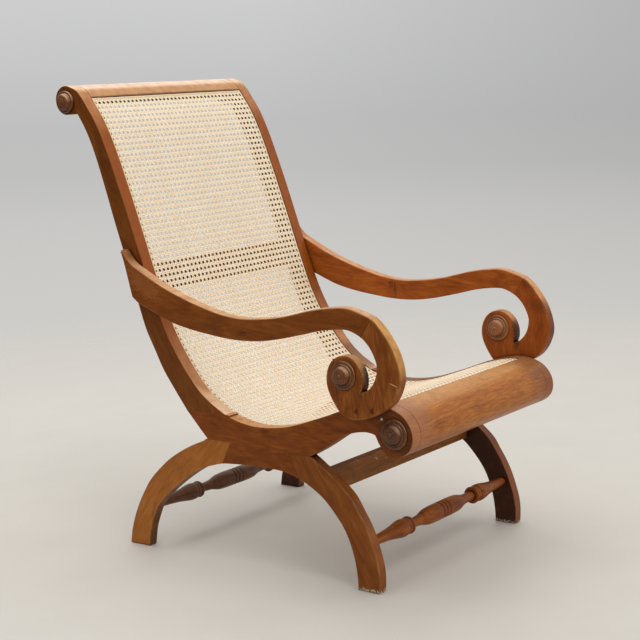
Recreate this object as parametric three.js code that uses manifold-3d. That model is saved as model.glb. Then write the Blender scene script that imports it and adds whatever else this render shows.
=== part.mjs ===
// Planters chair: one run of woven cane in a sawn hardwood frame with scrolled arms and arched legs.
// Millimetres, +Z up. The chair faces -Y and X runs across it. The origin is on the floor, under the
// middle of the chair. Right and left are the sitter's, so the right side is at negative X.

import * as THREE from 'three';
import { mergeVertices } from 'three/addons/utils/BufferGeometryUtils.js';
import Module from 'manifold-3d';

// Overall sizes. Width is taken over the outer faces of the side frames, inside the arms.
const overallHeight = 980;
const overallDepth = 885;
const frameWidth = 554;

// Boards. A small gap parts every two pieces that touch, as a glue line does.
const sideThickness = 30;
const legThickness = 23.5;
const armThickness = 25.5;
const fitGap = 0.3;

// Rolled top of the back
const voluteRadius = 30.5;
const voluteCentreShares = [0.4644, 0.9689];
const voluteStartAngle = THREE.MathUtils.degToRad(-95);
const voluteEndAngle = THREE.MathUtils.degToRad(113);

// Cane and what it lies on. Depths are measured square to the sitting line, into the wood.
const caneThickness = 2;
const binderThickness = 1.2;
const binderWidth = 6;
const binderSink = 0.7;
const caneRailWidth = 14;
const caneRailDepth = 32;
const caneRailSetback = 4;
const caneTopHeightShare = 0.9745;
const crestLipHeightShare = 0.96;
const crestUndersideHeightShare = 0.957;
const caneFrontDepthShare = -0.4249;
const rollBackDepthShare = -0.3977;
const rollBackWall = 50;

// The cane's fine mesh is stood for by a plain grid of openings. Rows are counted in long facets.
const caneOpeningWidth = 40;
const caneOpeningsAcross = 7;
const caneOpeningRows = 2;
const caneBarRows = 2;

// Rail behind the back
const midRailTopHeightShare = 0.6245;
const midRailBottomHeightShare = 0.5643;
const midRailSink = 9;
const midRailThickness = 18;

// Rail between the front legs
const crossRailCentreShares = [-0.2599, 0.2077];
const crossRailThickness = 20;
const crossRailHeight = 45;
const crossTenonThickness = 9;
const crossTenonHeight = 28;

// Tenons and dowels
const tenonLength = 14;
const boreRelief = 1;
const crestTenonRadius = 9;
const rollTenonRadius = 14;
const rollCentreShares = [-0.4486, 0.3265];
const stretcherTenonRadius = 6.5;
const dowelRadius = 5;
const dowelHalfLength = 18;
const slimDowelRadius = 4;
const pinHeadRadius = 2.6;
const pinHeadHeight = 1.2;
const pinShankRadius = 1.4;
const pinShankLength = 10;

// Where the dowels and the pin sit
const scarfDowelDepthShare = 0.0881;
const rearLegDowelDepthShare = 0.0339;
const frontLegDowelDepthShare = -0.2011;
const armRearDowelShares = [0.2463, 0.5918];
const armFrontDowelShares = [-0.3729, 0.3633];
const pinShares = [-0.4235, 0.3545];

// Turned stretchers
const stretcherRadius = 18.2;
const frontStretcherShares = [-0.3695, 0.0949];
const rearStretcherShares = [0.2554, 0.0918];

// Turned bosses
const scrollBossRadius = 28.5;
const scrollBossHeight = 17;
const scrollBossShares = [-0.3469, 0.4378];
const rollBossRadius = 30;
const rollBossHeight = 17;
const rollBossShares = [-0.4536, 0.3271];
const crestBossRadius = 23.5;
const crestBossHeight = 17;
const crestBossShares = [0.4644, 0.9653];

// Facets
const fineStep = 6;
const longStep = 20;
const outlineStep = 11;
const arcSteps = 14;
const searchSteps = 1500;
const turnedSides = 16;
const dowelSides = 12;
const pinSides = 8;
const samePoint = 0.05;

// Outlines are lists of [share of the depth, share of the height], seen from the side.
// The sitting line runs from the rolled top down the back, along the seat and round the front roll.
const sittingShares = [
  [0.4316, 0.9908], [0.4158, 0.9776], [0.4011, 0.9602], [0.3718, 0.9214], [0.3435, 0.8694],
  [0.3164, 0.8082], [0.2893, 0.7429], [0.2633, 0.6765], [0.2316, 0.5949], [0.1966, 0.5112],
  [0.1684, 0.4612], [0.1266, 0.4051], [0.0836, 0.3612], [0.0395, 0.3337], [-0.0034, 0.3153],
  [-0.0621, 0.3041], [-0.1198, 0.3051], [-0.1763, 0.3143], [-0.2599, 0.3398], [-0.3243, 0.3622],
  [-0.3898, 0.3781], [-0.4294, 0.3791], [-0.4701, 0.3679], [-0.4927, 0.3469], [-0.5, 0.3245],
  [-0.4949, 0.3031], [-0.4757, 0.2867], [-0.4508, 0.2796], [-0.4305, 0.2857], [-0.4169, 0.3],
  [-0.4045, 0.3204],
];
const scarfFrontShares = [0.0102, 0.3199];
const stileRearShares = [
  [0.1266, 0.3184], [0.1605, 0.3582], [0.1932, 0.399], [0.2181, 0.4408], [0.2418, 0.4816],
  [0.2588, 0.5245], [0.2825, 0.5918], [0.304, 0.651], [0.3277, 0.7143], [0.3503, 0.7786],
  [0.374, 0.8418], [0.3932, 0.8847], [0.4113, 0.9153], [0.4294, 0.9398],
];
const hubRearShares = [[0.0667, 0.2622], [0.0859, 0.2796], [0.1085, 0.301], [0.1266, 0.3184]];
const seatUnderShares = [
  [-0.4045, 0.3204], [-0.3864, 0.3235], [-0.3593, 0.3209], [-0.3277, 0.3122], [-0.2847, 0.2878],
  [-0.2576, 0.2724], [-0.2294, 0.2582],
];
const archShares = [
  [-0.3492, 0], [-0.348, 0.0235], [-0.3446, 0.048], [-0.3379, 0.0735], [-0.3232, 0.1082],
  [-0.3051, 0.1337], [-0.2667, 0.1714], [-0.2395, 0.1888], [-0.1977, 0.2071], [-0.1559, 0.2173],
  [-0.122, 0.2194], [-0.0633, 0.2194], [-0.0023, 0.2163], [0.0249, 0.2138], [0.0599, 0.2051],
  [0.0881, 0.1959], [0.1446, 0.1643], [0.1955, 0.1286], [0.2328, 0.0949], [0.2463, 0.0714],
  [0.2588, 0.0429], [0.2655, 0.0153], [0.2678, 0],
];
const rearLegOuterShares = [
  [0.0667, 0.2622], [0.0904, 0.2531], [0.122, 0.2408], [0.1537, 0.2255], [0.1876, 0.2061],
  [0.2203, 0.1816], [0.2554, 0.15], [0.2734, 0.1265], [0.2915, 0.099], [0.3107, 0.0622],
  [0.3232, 0.0286], [0.3288, 0],
];
const frontLegOuterShares = [
  [-0.2294, 0.2582], [-0.2554, 0.2429], [-0.2949, 0.2184], [-0.3345, 0.1878], [-0.3525, 0.1633],
  [-0.3695, 0.1388], [-0.3842, 0.1112], [-0.3955, 0.0827], [-0.4034, 0.0571], [-0.4068, 0.0306],
  [-0.4056, 0],
];
const rearJointShares = [-0.0023, 0.2622];
const rearJointFootShares = [0.0249, 0.2138];
const frontJointShares = [-0.1684, 0.2582];
const frontJointFootShares = [-0.1977, 0.2071];

// The arm's outer line runs from its rear tip over the top, round the scroll and into its notch.
const armOuterShares = [
  [0.2847, 0.6541], [0.2554, 0.6265], [0.2249, 0.6112], [0.165, 0.5847], [0.1051, 0.5643],
  [0.0463, 0.548], [-0.0124, 0.5357], [-0.0689, 0.5306], [-0.1266, 0.5337], [-0.1819, 0.5408],
  [-0.2644, 0.5592], [-0.3175, 0.5673], [-0.3571, 0.5694], [-0.3898, 0.5628], [-0.4215, 0.552],
  [-0.4441, 0.5337], [-0.4689, 0.5041], [-0.4825, 0.4776], [-0.4893, 0.4551], [-0.4904, 0.4388],
  [-0.4859, 0.4224], [-0.4757, 0.402], [-0.4599, 0.3847], [-0.4384, 0.3714], [-0.4136, 0.3602],
  [-0.3876, 0.3536], [-0.3638, 0.3526], [-0.3458, 0.3566], [-0.3322, 0.3653], [-0.3209, 0.3786],
  [-0.3107, 0.3939], [-0.3028, 0.4122], [-0.3011, 0.4306], [-0.3051, 0.4469], [-0.3141, 0.4612],
  [-0.3277, 0.4714], [-0.3458, 0.476], [-0.365, 0.4735], [-0.3808, 0.4633], [-0.391, 0.449],
  [-0.3955, 0.4337], [-0.3944, 0.4184], [-0.3904, 0.4077],
];
const armInnerShares = [
  [-0.3904, 0.4077], [-0.4045, 0.4117], [-0.4181, 0.4224], [-0.4271, 0.4357], [-0.4316, 0.45],
  [-0.4322, 0.4643], [-0.4271, 0.4776], [-0.4181, 0.4929], [-0.4068, 0.5051], [-0.3944, 0.5143],
  [-0.3808, 0.5204], [-0.3616, 0.526], [-0.3424, 0.5265], [-0.2893, 0.5204], [-0.235, 0.5082],
  [-0.1525, 0.4918], [-0.0949, 0.4857], [-0.0384, 0.4857], [0.0203, 0.4908], [0.0791, 0.498],
  [0.1401, 0.5102], [0.2, 0.5306], [0.2373, 0.5439], [0.2554, 0.5561],
];
const armHeelShares = [0.2802, 0.6408];
const armJointOuterShares = [-0.4215, 0.552];
const armJointInnerShares = [-0.3944, 0.5143];

// Turned profiles: [share of the half length or height, share of the radius].
// The stretcher's runs from its middle to its shoulder, and a boss's from its rim to its tip.
const stretcherProfileShares = [
  [0, 0.89], [0.012, 0.97], [0.03, 0.99], [0.04, 0.97], [0.047, 0.89], [0.056, 0.98], [0.1, 1],
  [0.158, 0.99], [0.237, 0.91], [0.316, 0.64], [0.415, 0.55], [0.474, 0.54], [0.484, 0.88],
  [0.495, 0.96], [0.545, 0.97], [0.552, 0.92], [0.562, 0.99], [0.6, 1], [0.652, 0.91],
  [0.711, 0.78], [0.79, 0.65], [0.928, 0.54], [1, 0.42],
];
const bossProfileShares = [
  [0, 1], [0.09, 1], [0.2, 0.93], [0.22, 0.79], [0.3, 0.75], [0.35, 0.66], [0.47, 0.63],
  [0.65, 0.58], [0.8, 0.5], [0.86, 0.38], [0.91, 0.17], [1, 0.08],
];
const crestBossProfileShares = [
  [0, 1], [0.25, 1], [0.34, 0.93], [0.37, 0.83], [0.46, 0.8], [0.5, 0.76], [0.7, 0.69],
  [0.82, 0.6], [0.89, 0.48], [0.93, 0.3], [0.95, 0.16], [1, 0.08],
];

// Colours
const hubWood = new THREE.MeshStandardMaterial({ color: '#6b3c1e', roughness: 0.5, metalness: 0 });
const stileWood = new THREE.MeshStandardMaterial({ color: '#60351a', roughness: 0.5, metalness: 0 });
const legWood = new THREE.MeshStandardMaterial({ color: '#7c4a22', roughness: 0.5, metalness: 0 });
const armWood = new THREE.MeshStandardMaterial({ color: '#744122', roughness: 0.45, metalness: 0 });
const rollWood = new THREE.MeshStandardMaterial({ color: '#96602f', roughness: 0.4, metalness: 0 });
const turnedWood = new THREE.MeshStandardMaterial({ color: '#6e4226', roughness: 0.45, metalness: 0 });
const innerWood = new THREE.MeshStandardMaterial({ color: '#54331c', roughness: 0.6, metalness: 0 });
const dowelWood = new THREE.MeshStandardMaterial({ color: '#b08a5a', roughness: 0.7, metalness: 0 });
const cane = new THREE.MeshStandardMaterial({ color: '#e3cfa6', roughness: 0.6, metalness: 0 });
const pinMetal = new THREE.MeshStandardMaterial({ color: '#c9b184', roughness: 0.4, metalness: 1 });

const wasm = await Module();
wasm.setup();

const frameHalf = frameWidth / 2;
const sideInner = frameHalf - sideThickness;
const legInner = frameHalf - legThickness;
const armInner = frameHalf + fitGap;
const armOuter = armInner + armThickness;
const betweenSides = sideInner - fitGap;
const caneRailInner = betweenSides - caneRailWidth;
const binderFloor = binderSink + binderThickness;
const caneTop = binderFloor + fitGap;
const caneFloor = caneTop + caneThickness;
const caneSeat = caneFloor + fitGap;

// Points and lines in the side view
function placed([depthShare, heightShare]) {
  return [depthShare * overallDepth, heightShare * overallHeight];
}

function smoothLine(shares, firstPoint) {
  const points = shares.map(placed);
  if (firstPoint) points.unshift(firstPoint);
  const vectors = points.map(([y, z]) => new THREE.Vector3(0, y, z));
  const line = new THREE.CatmullRomCurve3(vectors, false, 'centripetal');
  line.arcLengthDivisions = searchSteps;
  return line;
}

function pointOn(line, along) {
  const point = line.getPointAt(along);
  return [point.y, point.z];
}

// The place along a line, from 0 to 1, that lies nearest to a point
function nearest(line, [y, z]) {
  let best = 0;
  let bestDistance = Infinity;
  for (let i = 0; i <= searchSteps; i += 1) {
    const [py, pz] = pointOn(line, i / searchSteps);
    const distance = Math.hypot(py - y, pz - z);
    if (distance < bestDistance) {
      bestDistance = distance;
      best = i / searchSteps;
    }
  }
  return best;
}

// The first place along a line where it comes down to a height, or forward to a depth
function firstBelow(line, axis, limit) {
  let i = 0;
  while (i < searchSteps && line.getPointAt(i / searchSteps)[axis] > limit) i += 1;
  return i / searchSteps;
}

function run(line, from, to, step) {
  const count = Math.max(1, Math.round((line.getLength() * Math.abs(to - from)) / step));
  return Array.from({ length: count + 1 }, (_, i) => pointOn(line, from + ((to - from) * i) / count));
}

function arc([y, z], radius, from, to) {
  return Array.from({ length: arcSteps + 1 }, (_, i) => {
    const angle = from + ((to - from) * i) / arcSteps;
    return [y + radius * Math.cos(angle), z + radius * Math.sin(angle)];
  });
}

// The sitting line and the places along it
const voluteCentre = placed(voluteCentreShares);
const voluteTop = arc(voluteCentre, voluteRadius, voluteEndAngle, voluteEndAngle)[0];
const sittingLine = smoothLine(sittingShares, voluteTop);
const caneTopAt = firstBelow(sittingLine, 'z', caneTopHeightShare * overallHeight);
const crestLipAt = firstBelow(sittingLine, 'z', crestLipHeightShare * overallHeight);
const midRailTopAt = firstBelow(sittingLine, 'z', midRailTopHeightShare * overallHeight);
const midRailBottomAt = firstBelow(sittingLine, 'z', midRailBottomHeightShare * overallHeight);
const scarfAt = nearest(sittingLine, placed(scarfFrontShares));
const rollBackAt = firstBelow(sittingLine, 'y', rollBackDepthShare * overallDepth);
const caneFrontAt = firstBelow(sittingLine, 'y', caneFrontDepthShare * overallDepth);
const alongSitting = (length) => length / sittingLine.getLength();

// Every piece on the sitting line is cut at the same stops, so their facets lie together.
function stops(from, to, step) {
  const count = Math.max(1, Math.round((to - from) / alongSitting(step)));
  return Array.from({ length: count }, (_, i) => from + ((to - from) * i) / count);
}

const sittingStops = [
  ...stops(0, crestLipAt, fineStep),
  ...stops(crestLipAt, rollBackAt, longStep),
  ...stops(rollBackAt, 1, fineStep),
];

function sunkPoint(along, depth) {
  const [y, z] = pointOn(sittingLine, along);
  const tangent = sittingLine.getTangentAt(along);
  return [y - tangent.z * depth, z + tangent.y * depth];
}

function sitting(from, to, depth) {
  const inside = sittingStops.filter((stop) => stop > from && stop < to);
  return [from, ...inside, to].map((stop) => sunkPoint(stop, depth));
}

function band(from, to, top, bottom) {
  return [...sitting(from, to, top), ...sitting(from, to, bottom).reverse()];
}

// Solids
const sideView = new THREE.Matrix4().makeBasis(
  new THREE.Vector3(0, 1, 0),
  new THREE.Vector3(0, 0, 1),
  new THREE.Vector3(1, 0, 0),
);
const acrossX = new THREE.Matrix4().makeRotationZ(-Math.PI / 2);
const uprightZ = new THREE.Matrix4().makeRotationX(Math.PI / 2);

function withoutRepeats(outline) {
  return outline.filter(([y, z], i) => {
    const [py, pz] = outline[(i + outline.length - 1) % outline.length];
    return Math.hypot(y - py, z - pz) > samePoint;
  });
}

function prism(outline, xFrom, xTo) {
  const shape = new THREE.Shape(withoutRepeats(outline).map(([y, z]) => new THREE.Vector2(y, z)));
  const depth = Math.abs(xTo - xFrom);
  const geometry = new THREE.ExtrudeGeometry(shape, { depth, bevelEnabled: false });
  geometry.applyMatrix4(sideView);
  geometry.translate(Math.min(xFrom, xTo), 0, 0);
  return geometry;
}

function toSolid(geometry) {
  const plain = geometry.clone();
  plain.deleteAttribute('normal');
  plain.deleteAttribute('uv');
  const merged = mergeVertices(plain);
  const vertProperties = new Float32Array(merged.attributes.position.array);
  const triVerts = new Uint32Array(merged.index.array);
  return new wasm.Manifold(new wasm.Mesh({ numProp: 3, vertProperties, triVerts }));
}

function toGeometry(solid) {
  const { vertProperties, triVerts } = solid.getMesh();
  const geometry = new THREE.BufferGeometry();
  geometry.setAttribute('position', new THREE.BufferAttribute(vertProperties, 3));
  geometry.setIndex(new THREE.BufferAttribute(triVerts, 1));
  return geometry;
}

function cutBy(geometry, cutters) {
  const solid = cutters.reduce((rest, cutter) => rest.subtract(toSolid(cutter)), toSolid(geometry));
  return toGeometry(solid);
}

function joinedWith(geometry, others) {
  const solid = others.reduce((whole, other) => whole.add(toSolid(other)), toSolid(geometry));
  return toGeometry(solid);
}

function cylinderAcross([y, z], radius, xFrom, xTo) {
  const length = Math.abs(xTo - xFrom);
  const geometry = new THREE.CylinderGeometry(radius, radius, length, dowelSides);
  geometry.applyMatrix4(acrossX);
  geometry.translate((xFrom + xTo) / 2, y, z);
  return geometry;
}

function cylinderUpright(x, [y, z], radius, halfLength) {
  const geometry = new THREE.CylinderGeometry(radius, radius, 2 * halfLength, dowelSides);
  geometry.applyMatrix4(uprightZ);
  geometry.translate(x, y, z);
  return geometry;
}

function cylinderAlong(x, [y, z], direction, radius, halfLength) {
  const geometry = new THREE.CylinderGeometry(radius, radius, 2 * halfLength, dowelSides);
  const turn = new THREE.Quaternion().setFromUnitVectors(new THREE.Vector3(0, 1, 0), direction);
  geometry.applyQuaternion(turn);
  geometry.translate(x, y, z);
  return geometry;
}

function turnedPiece(profile, sides) {
  return new THREE.LatheGeometry(profile.map(([x, r]) => new THREE.Vector2(r, x)), sides);
}

function part(name, geometry, material) {
  const mesh = new THREE.Mesh(geometry, material);
  mesh.name = name;
  return mesh;
}

// Side frame
const scarfRear = placed(stileRearShares[0]);
const scarfFront = pointOn(sittingLine, scarfAt);
const scarfHeight = (scarfRear[1] + scarfFront[1]) / 2;
const stileRearLine = smoothLine(stileRearShares);
const hubRearLine = smoothLine(hubRearShares);
const seatUnderLine = smoothLine(seatUnderShares);
const archLine = smoothLine(archShares);
const rearLegLine = smoothLine(rearLegOuterShares);
const frontLegLine = smoothLine(frontLegOuterShares);
const frontCutAt = nearest(archLine, placed(frontJointFootShares));
const rearCutAt = nearest(archLine, placed(rearJointFootShares));
const archGap = fitGap / archLine.getLength();
const voluteBack = arc(voluteCentre, voluteRadius, voluteStartAngle, voluteEndAngle);

function lowered([y, z]) {
  return [y, z - fitGap];
}

function moved([y, z], dy, dz) {
  return [y + dy, z + dz];
}

function stileOutline() {
  return [
    ...sitting(0, scarfAt, 0),
    ...run(stileRearLine, 0, 1, outlineStep),
    ...voluteBack,
  ];
}

function seatBoardOutline() {
  return [
    ...sitting(scarfAt + alongSitting(fitGap), 1, 0),
    ...run(seatUnderLine, 0, 1, outlineStep),
    placed(frontJointShares),
    ...run(archLine, frontCutAt, rearCutAt, outlineStep),
    placed(rearJointShares),
    ...run(hubRearLine, 0, 1, outlineStep).slice(0, -1),
    lowered(scarfRear),
  ];
}

function rearLegOutline() {
  return [
    ...run(rearLegLine, 1, 0, outlineStep).slice(0, -1),
    lowered(placed(rearLegOuterShares[0])),
    moved(placed(rearJointShares), fitGap, -fitGap),
    ...run(archLine, rearCutAt + archGap, 1, outlineStep),
  ];
}

function frontLegOutline() {
  return [
    ...run(archLine, 0, frontCutAt - archGap, outlineStep),
    moved(placed(frontJointShares), -fitGap, -fitGap),
    lowered(placed(frontLegOuterShares[0])),
    ...run(frontLegLine, 0, 1, outlineStep).slice(1),
  ];
}

// Arm
const armOuterLine = smoothLine(armOuterShares);
const armInnerLine = smoothLine(armInnerShares);
const armOuterCutAt = nearest(armOuterLine, placed(armJointOuterShares));
const armInnerCutAt = nearest(armInnerLine, placed(armJointInnerShares));
const armJointDirection = armOuterLine.getTangentAt(armOuterCutAt);
const armJointOuter = pointOn(armOuterLine, armOuterCutAt);
const armJointInner = pointOn(armInnerLine, armInnerCutAt);
const armJointMiddle = armJointOuter.map((value, i) => (value + armJointInner[i]) / 2);

function armRailOutline() {
  return [
    ...run(armOuterLine, 0, armOuterCutAt, outlineStep),
    ...run(armInnerLine, armInnerCutAt, 1, outlineStep),
    placed(armHeelShares),
  ];
}

function armScrollOutline() {
  const outerGap = fitGap / armOuterLine.getLength();
  const innerGap = fitGap / armInnerLine.getLength();
  return [
    ...run(armOuterLine, armOuterCutAt + outerGap, 1, fineStep),
    ...run(armInnerLine, 0, armInnerCutAt - innerGap, fineStep),
  ];
}

// Turned profiles
function stretcherProfile() {
  const half = legInner - fitGap;
  const side = stretcherProfileShares.map(([x, r]) => [x * half, r * stretcherRadius]);
  const end = half + tenonLength - boreRelief;
  const outer = [...side, [half, stretcherTenonRadius], [end, stretcherTenonRadius], [end, 0]];
  const mirrored = outer.slice(1).reverse().map(([x, r]) => [-x, r]);
  return [...mirrored, ...outer];
}

function boss(sign, faceX, [y, z], radius, height, shares) {
  const rim = shares.map(([x, r]) => [x * height, r * radius]);
  const geometry = turnedPiece([[0, 0], ...rim, [height, 0]], turnedSides);
  geometry.applyMatrix4(acrossX);
  if (sign < 0) geometry.rotateZ(Math.PI);
  geometry.translate(faceX, y, z);
  return geometry;
}

// One side of the chair. The sign is -1 on the right and 1 on the left.
function sideFrame(side, sign) {
  const group = new THREE.Group();
  const add = (name, geometry, material) => group.add(part(`${name}_${side}`, geometry, material));
  const across = (place, radius, from, to) => cylinderAcross(place, radius, sign * from, sign * to);
  const bore = fitGap;
  const scarfPlace = [scarfDowelDepthShare * overallDepth, scarfHeight];
  const rearPlace = [rearLegDowelDepthShare * overallDepth, placed(rearJointShares)[1]];
  const frontPlace = [frontLegDowelDepthShare * overallDepth, placed(frontJointShares)[1]];
  const scarfX = sign * (frameHalf - sideThickness / 2);
  const legX = sign * (frameHalf - legThickness / 2);
  const armX = sign * (armInner + armThickness / 2);
  const longBore = dowelHalfLength + boreRelief;
  const boreRadius = dowelRadius + bore;
  const slimBoreRadius = slimDowelRadius + bore;
  const armRearPlace = placed(armRearDowelShares);
  const armFrontPlace = placed(armFrontDowelShares);
  const pinPlace = placed(pinShares);

  const scarfBore = cylinderUpright(scarfX, scarfPlace, boreRadius, longBore);
  const rearBore = cylinderUpright(legX, rearPlace, boreRadius, longBore);
  const frontBore = cylinderUpright(legX, frontPlace, boreRadius, longBore);
  const armRearBore = across(armRearPlace, boreRadius, frameHalf - longBore, armInner + longBore);
  const armFrontBore = across(armFrontPlace, slimBoreRadius, frameHalf - longBore, armInner + longBore);
  const armJointBore = cylinderAlong(armX, armJointMiddle, armJointDirection, boreRadius, longBore);
  const crestBore = across(voluteCentre, crestTenonRadius + bore, 0, sideInner + tenonLength);
  const rollPlace = placed(rollCentreShares);
  const rollBore = across(rollPlace, rollTenonRadius + bore, 0, sideInner + tenonLength);
  const pinBore = across(pinPlace, pinShankRadius + bore, frameHalf - pinShankLength - boreRelief, armOuter);
  const stretcherBores = [frontStretcherShares, rearStretcherShares].map((shares) => (
    across(placed(shares), stretcherTenonRadius + bore, 0, legInner + tenonLength)
  ));
  const mortise = new THREE.BoxGeometry(
    2 * (legInner + tenonLength),
    crossTenonThickness + 2 * fitGap,
    crossTenonHeight + 2 * fitGap,
  );
  mortise.translate(0, ...placed(crossRailCentreShares));

  const stile = prism(stileOutline(), sign * sideInner, sign * frameHalf);
  add('back_stile', cutBy(stile, [scarfBore, armRearBore, crestBore]), stileWood);
  const seatBoard = prism(seatBoardOutline(), sign * sideInner, sign * frameHalf);
  const seatBores = [scarfBore, rearBore, frontBore, armFrontBore, rollBore, pinBore];
  add('seat_board', cutBy(seatBoard, seatBores), hubWood);
  const rearLeg = prism(rearLegOutline(), sign * legInner, sign * frameHalf);
  add('rear_leg', cutBy(rearLeg, [rearBore, stretcherBores[1]]), legWood);
  const frontLeg = prism(frontLegOutline(), sign * legInner, sign * frameHalf);
  add('front_leg', cutBy(frontLeg, [frontBore, stretcherBores[0], mortise]), legWood);
  const armRail = prism(armRailOutline(), sign * armInner, sign * armOuter);
  add('arm_rail', cutBy(armRail, [armRearBore, armJointBore]), armWood);
  const armScroll = prism(armScrollOutline(), sign * armInner, sign * armOuter);
  add('arm_scroll', cutBy(armScroll, [armFrontBore, armJointBore]), armWood);

  const railFrom = sign * caneRailInner;
  const railTo = sign * betweenSides;
  const railFloor = caneSeat + caneRailDepth;
  const railStart = crestLipAt + alongSitting(caneRailSetback);
  const upperRail = band(railStart, scarfAt - alongSitting(fitGap), caneSeat, railFloor);
  const lowerRail = band(scarfAt, rollBackAt - alongSitting(fitGap), caneSeat, railFloor);
  add('cane_rail_upper', prism(upperRail, railFrom, railTo), innerWood);
  add('cane_rail_lower', prism(lowerRail, railFrom, railTo), innerWood);
  const binder = band(
    caneTopAt + alongSitting(fitGap),
    caneFrontAt - alongSitting(fitGap),
    binderSink,
    binderFloor,
  );
  add('cane_binder', prism(binder, sign * (betweenSides - binderWidth), sign * betweenSides), cane);

  const scrollPlace = placed(scrollBossShares);
  const outerFace = sign * (armOuter + fitGap);
  const innerFace = sign * (armInner - fitGap);
  const sideFace = sign * (frameHalf + fitGap);
  const scrollSizes = [scrollPlace, scrollBossRadius, scrollBossHeight, bossProfileShares];
  const crestSizes = [placed(crestBossShares), crestBossRadius, crestBossHeight, crestBossProfileShares];
  const rollSizes = [placed(rollBossShares), rollBossRadius, rollBossHeight, bossProfileShares];
  add('scroll_boss_outer', boss(sign, outerFace, ...scrollSizes), turnedWood);
  add('scroll_boss_inner', boss(-sign, innerFace, ...scrollSizes), turnedWood);
  add('crest_boss', boss(sign, sideFace, ...crestSizes), turnedWood);
  add('roll_boss', boss(sign, sideFace, ...rollSizes), turnedWood);

  const scarfDowel = cylinderUpright(scarfX, scarfPlace, dowelRadius, dowelHalfLength);
  add('scarf_dowel', scarfDowel, dowelWood);
  add('rear_leg_dowel', cylinderUpright(legX, rearPlace, dowelRadius, dowelHalfLength), dowelWood);
  add('front_leg_dowel', cylinderUpright(legX, frontPlace, dowelRadius, dowelHalfLength), dowelWood);
  const dowelFrom = frameHalf - dowelHalfLength;
  const dowelTo = armInner + dowelHalfLength;
  add('arm_rear_dowel', across(armRearPlace, dowelRadius, dowelFrom, dowelTo), dowelWood);
  add('arm_front_dowel', across(armFrontPlace, slimDowelRadius, dowelFrom, dowelTo), dowelWood);
  const jointDowel = cylinderAlong(armX, armJointMiddle, armJointDirection, dowelRadius, dowelHalfLength);
  add('arm_joint_dowel', jointDowel, dowelWood);
  const pinProfile = [
    [-pinShankLength, 0], [-pinShankLength, pinShankRadius], [fitGap, pinShankRadius],
    [fitGap, pinHeadRadius], [fitGap + pinHeadHeight / 2, pinHeadRadius],
    [fitGap + pinHeadHeight, pinHeadRadius / 2], [fitGap + pinHeadHeight, 0],
  ];
  const pin = turnedPiece(pinProfile, pinSides);
  pin.applyMatrix4(acrossX);
  if (sign < 0) pin.rotateZ(Math.PI);
  pin.translate(sign * frameHalf, ...pinPlace);
  add('seat_pin', pin, pinMetal);
  return group;
}

// Pieces that run across the chair
function crestRail() {
  const underside = crestUndersideHeightShare * overallHeight;
  const outline = [
    ...sitting(0, caneTopAt, 0),
    ...sitting(caneTopAt, crestLipAt, caneSeat),
    ...voluteBack.filter(([, z]) => z > underside),
  ];
  const reach = sideInner + tenonLength - boreRelief;
  const tenon = cylinderAcross(voluteCentre, crestTenonRadius, -reach, reach);
  return joinedWith(prism(outline, -betweenSides, betweenSides), [tenon]);
}

function frontRoll() {
  const outline = [
    ...sitting(caneFrontAt, 1, 0),
    sunkPoint(rollBackAt, rollBackWall),
    ...sitting(rollBackAt, caneFrontAt, caneSeat),
  ];
  const reach = sideInner + tenonLength - boreRelief;
  const tenon = cylinderAcross(placed(rollCentreShares), rollTenonRadius, -reach, reach);
  return joinedWith(prism(outline, -betweenSides, betweenSides), [tenon]);
}

function midBackRail() {
  const half = caneRailInner - fitGap;
  const outline = band(midRailTopAt, midRailBottomAt, midRailSink, midRailSink + midRailThickness);
  return prism(outline, -half, half);
}

function frontCrossRail() {
  const half = legInner - fitGap;
  const tenonHalf = legInner + tenonLength - boreRelief;
  const rail = new THREE.BoxGeometry(2 * half, crossRailThickness, crossRailHeight);
  const tenon = new THREE.BoxGeometry(2 * tenonHalf, crossTenonThickness, crossTenonHeight);
  const geometry = joinedWith(rail, [tenon]);
  geometry.translate(0, ...placed(crossRailCentreShares));
  return geometry;
}

function stretcher(shares) {
  const geometry = turnedPiece(stretcherProfile(), turnedSides);
  geometry.applyMatrix4(acrossX);
  geometry.translate(0, ...placed(shares));
  return geometry;
}

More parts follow.
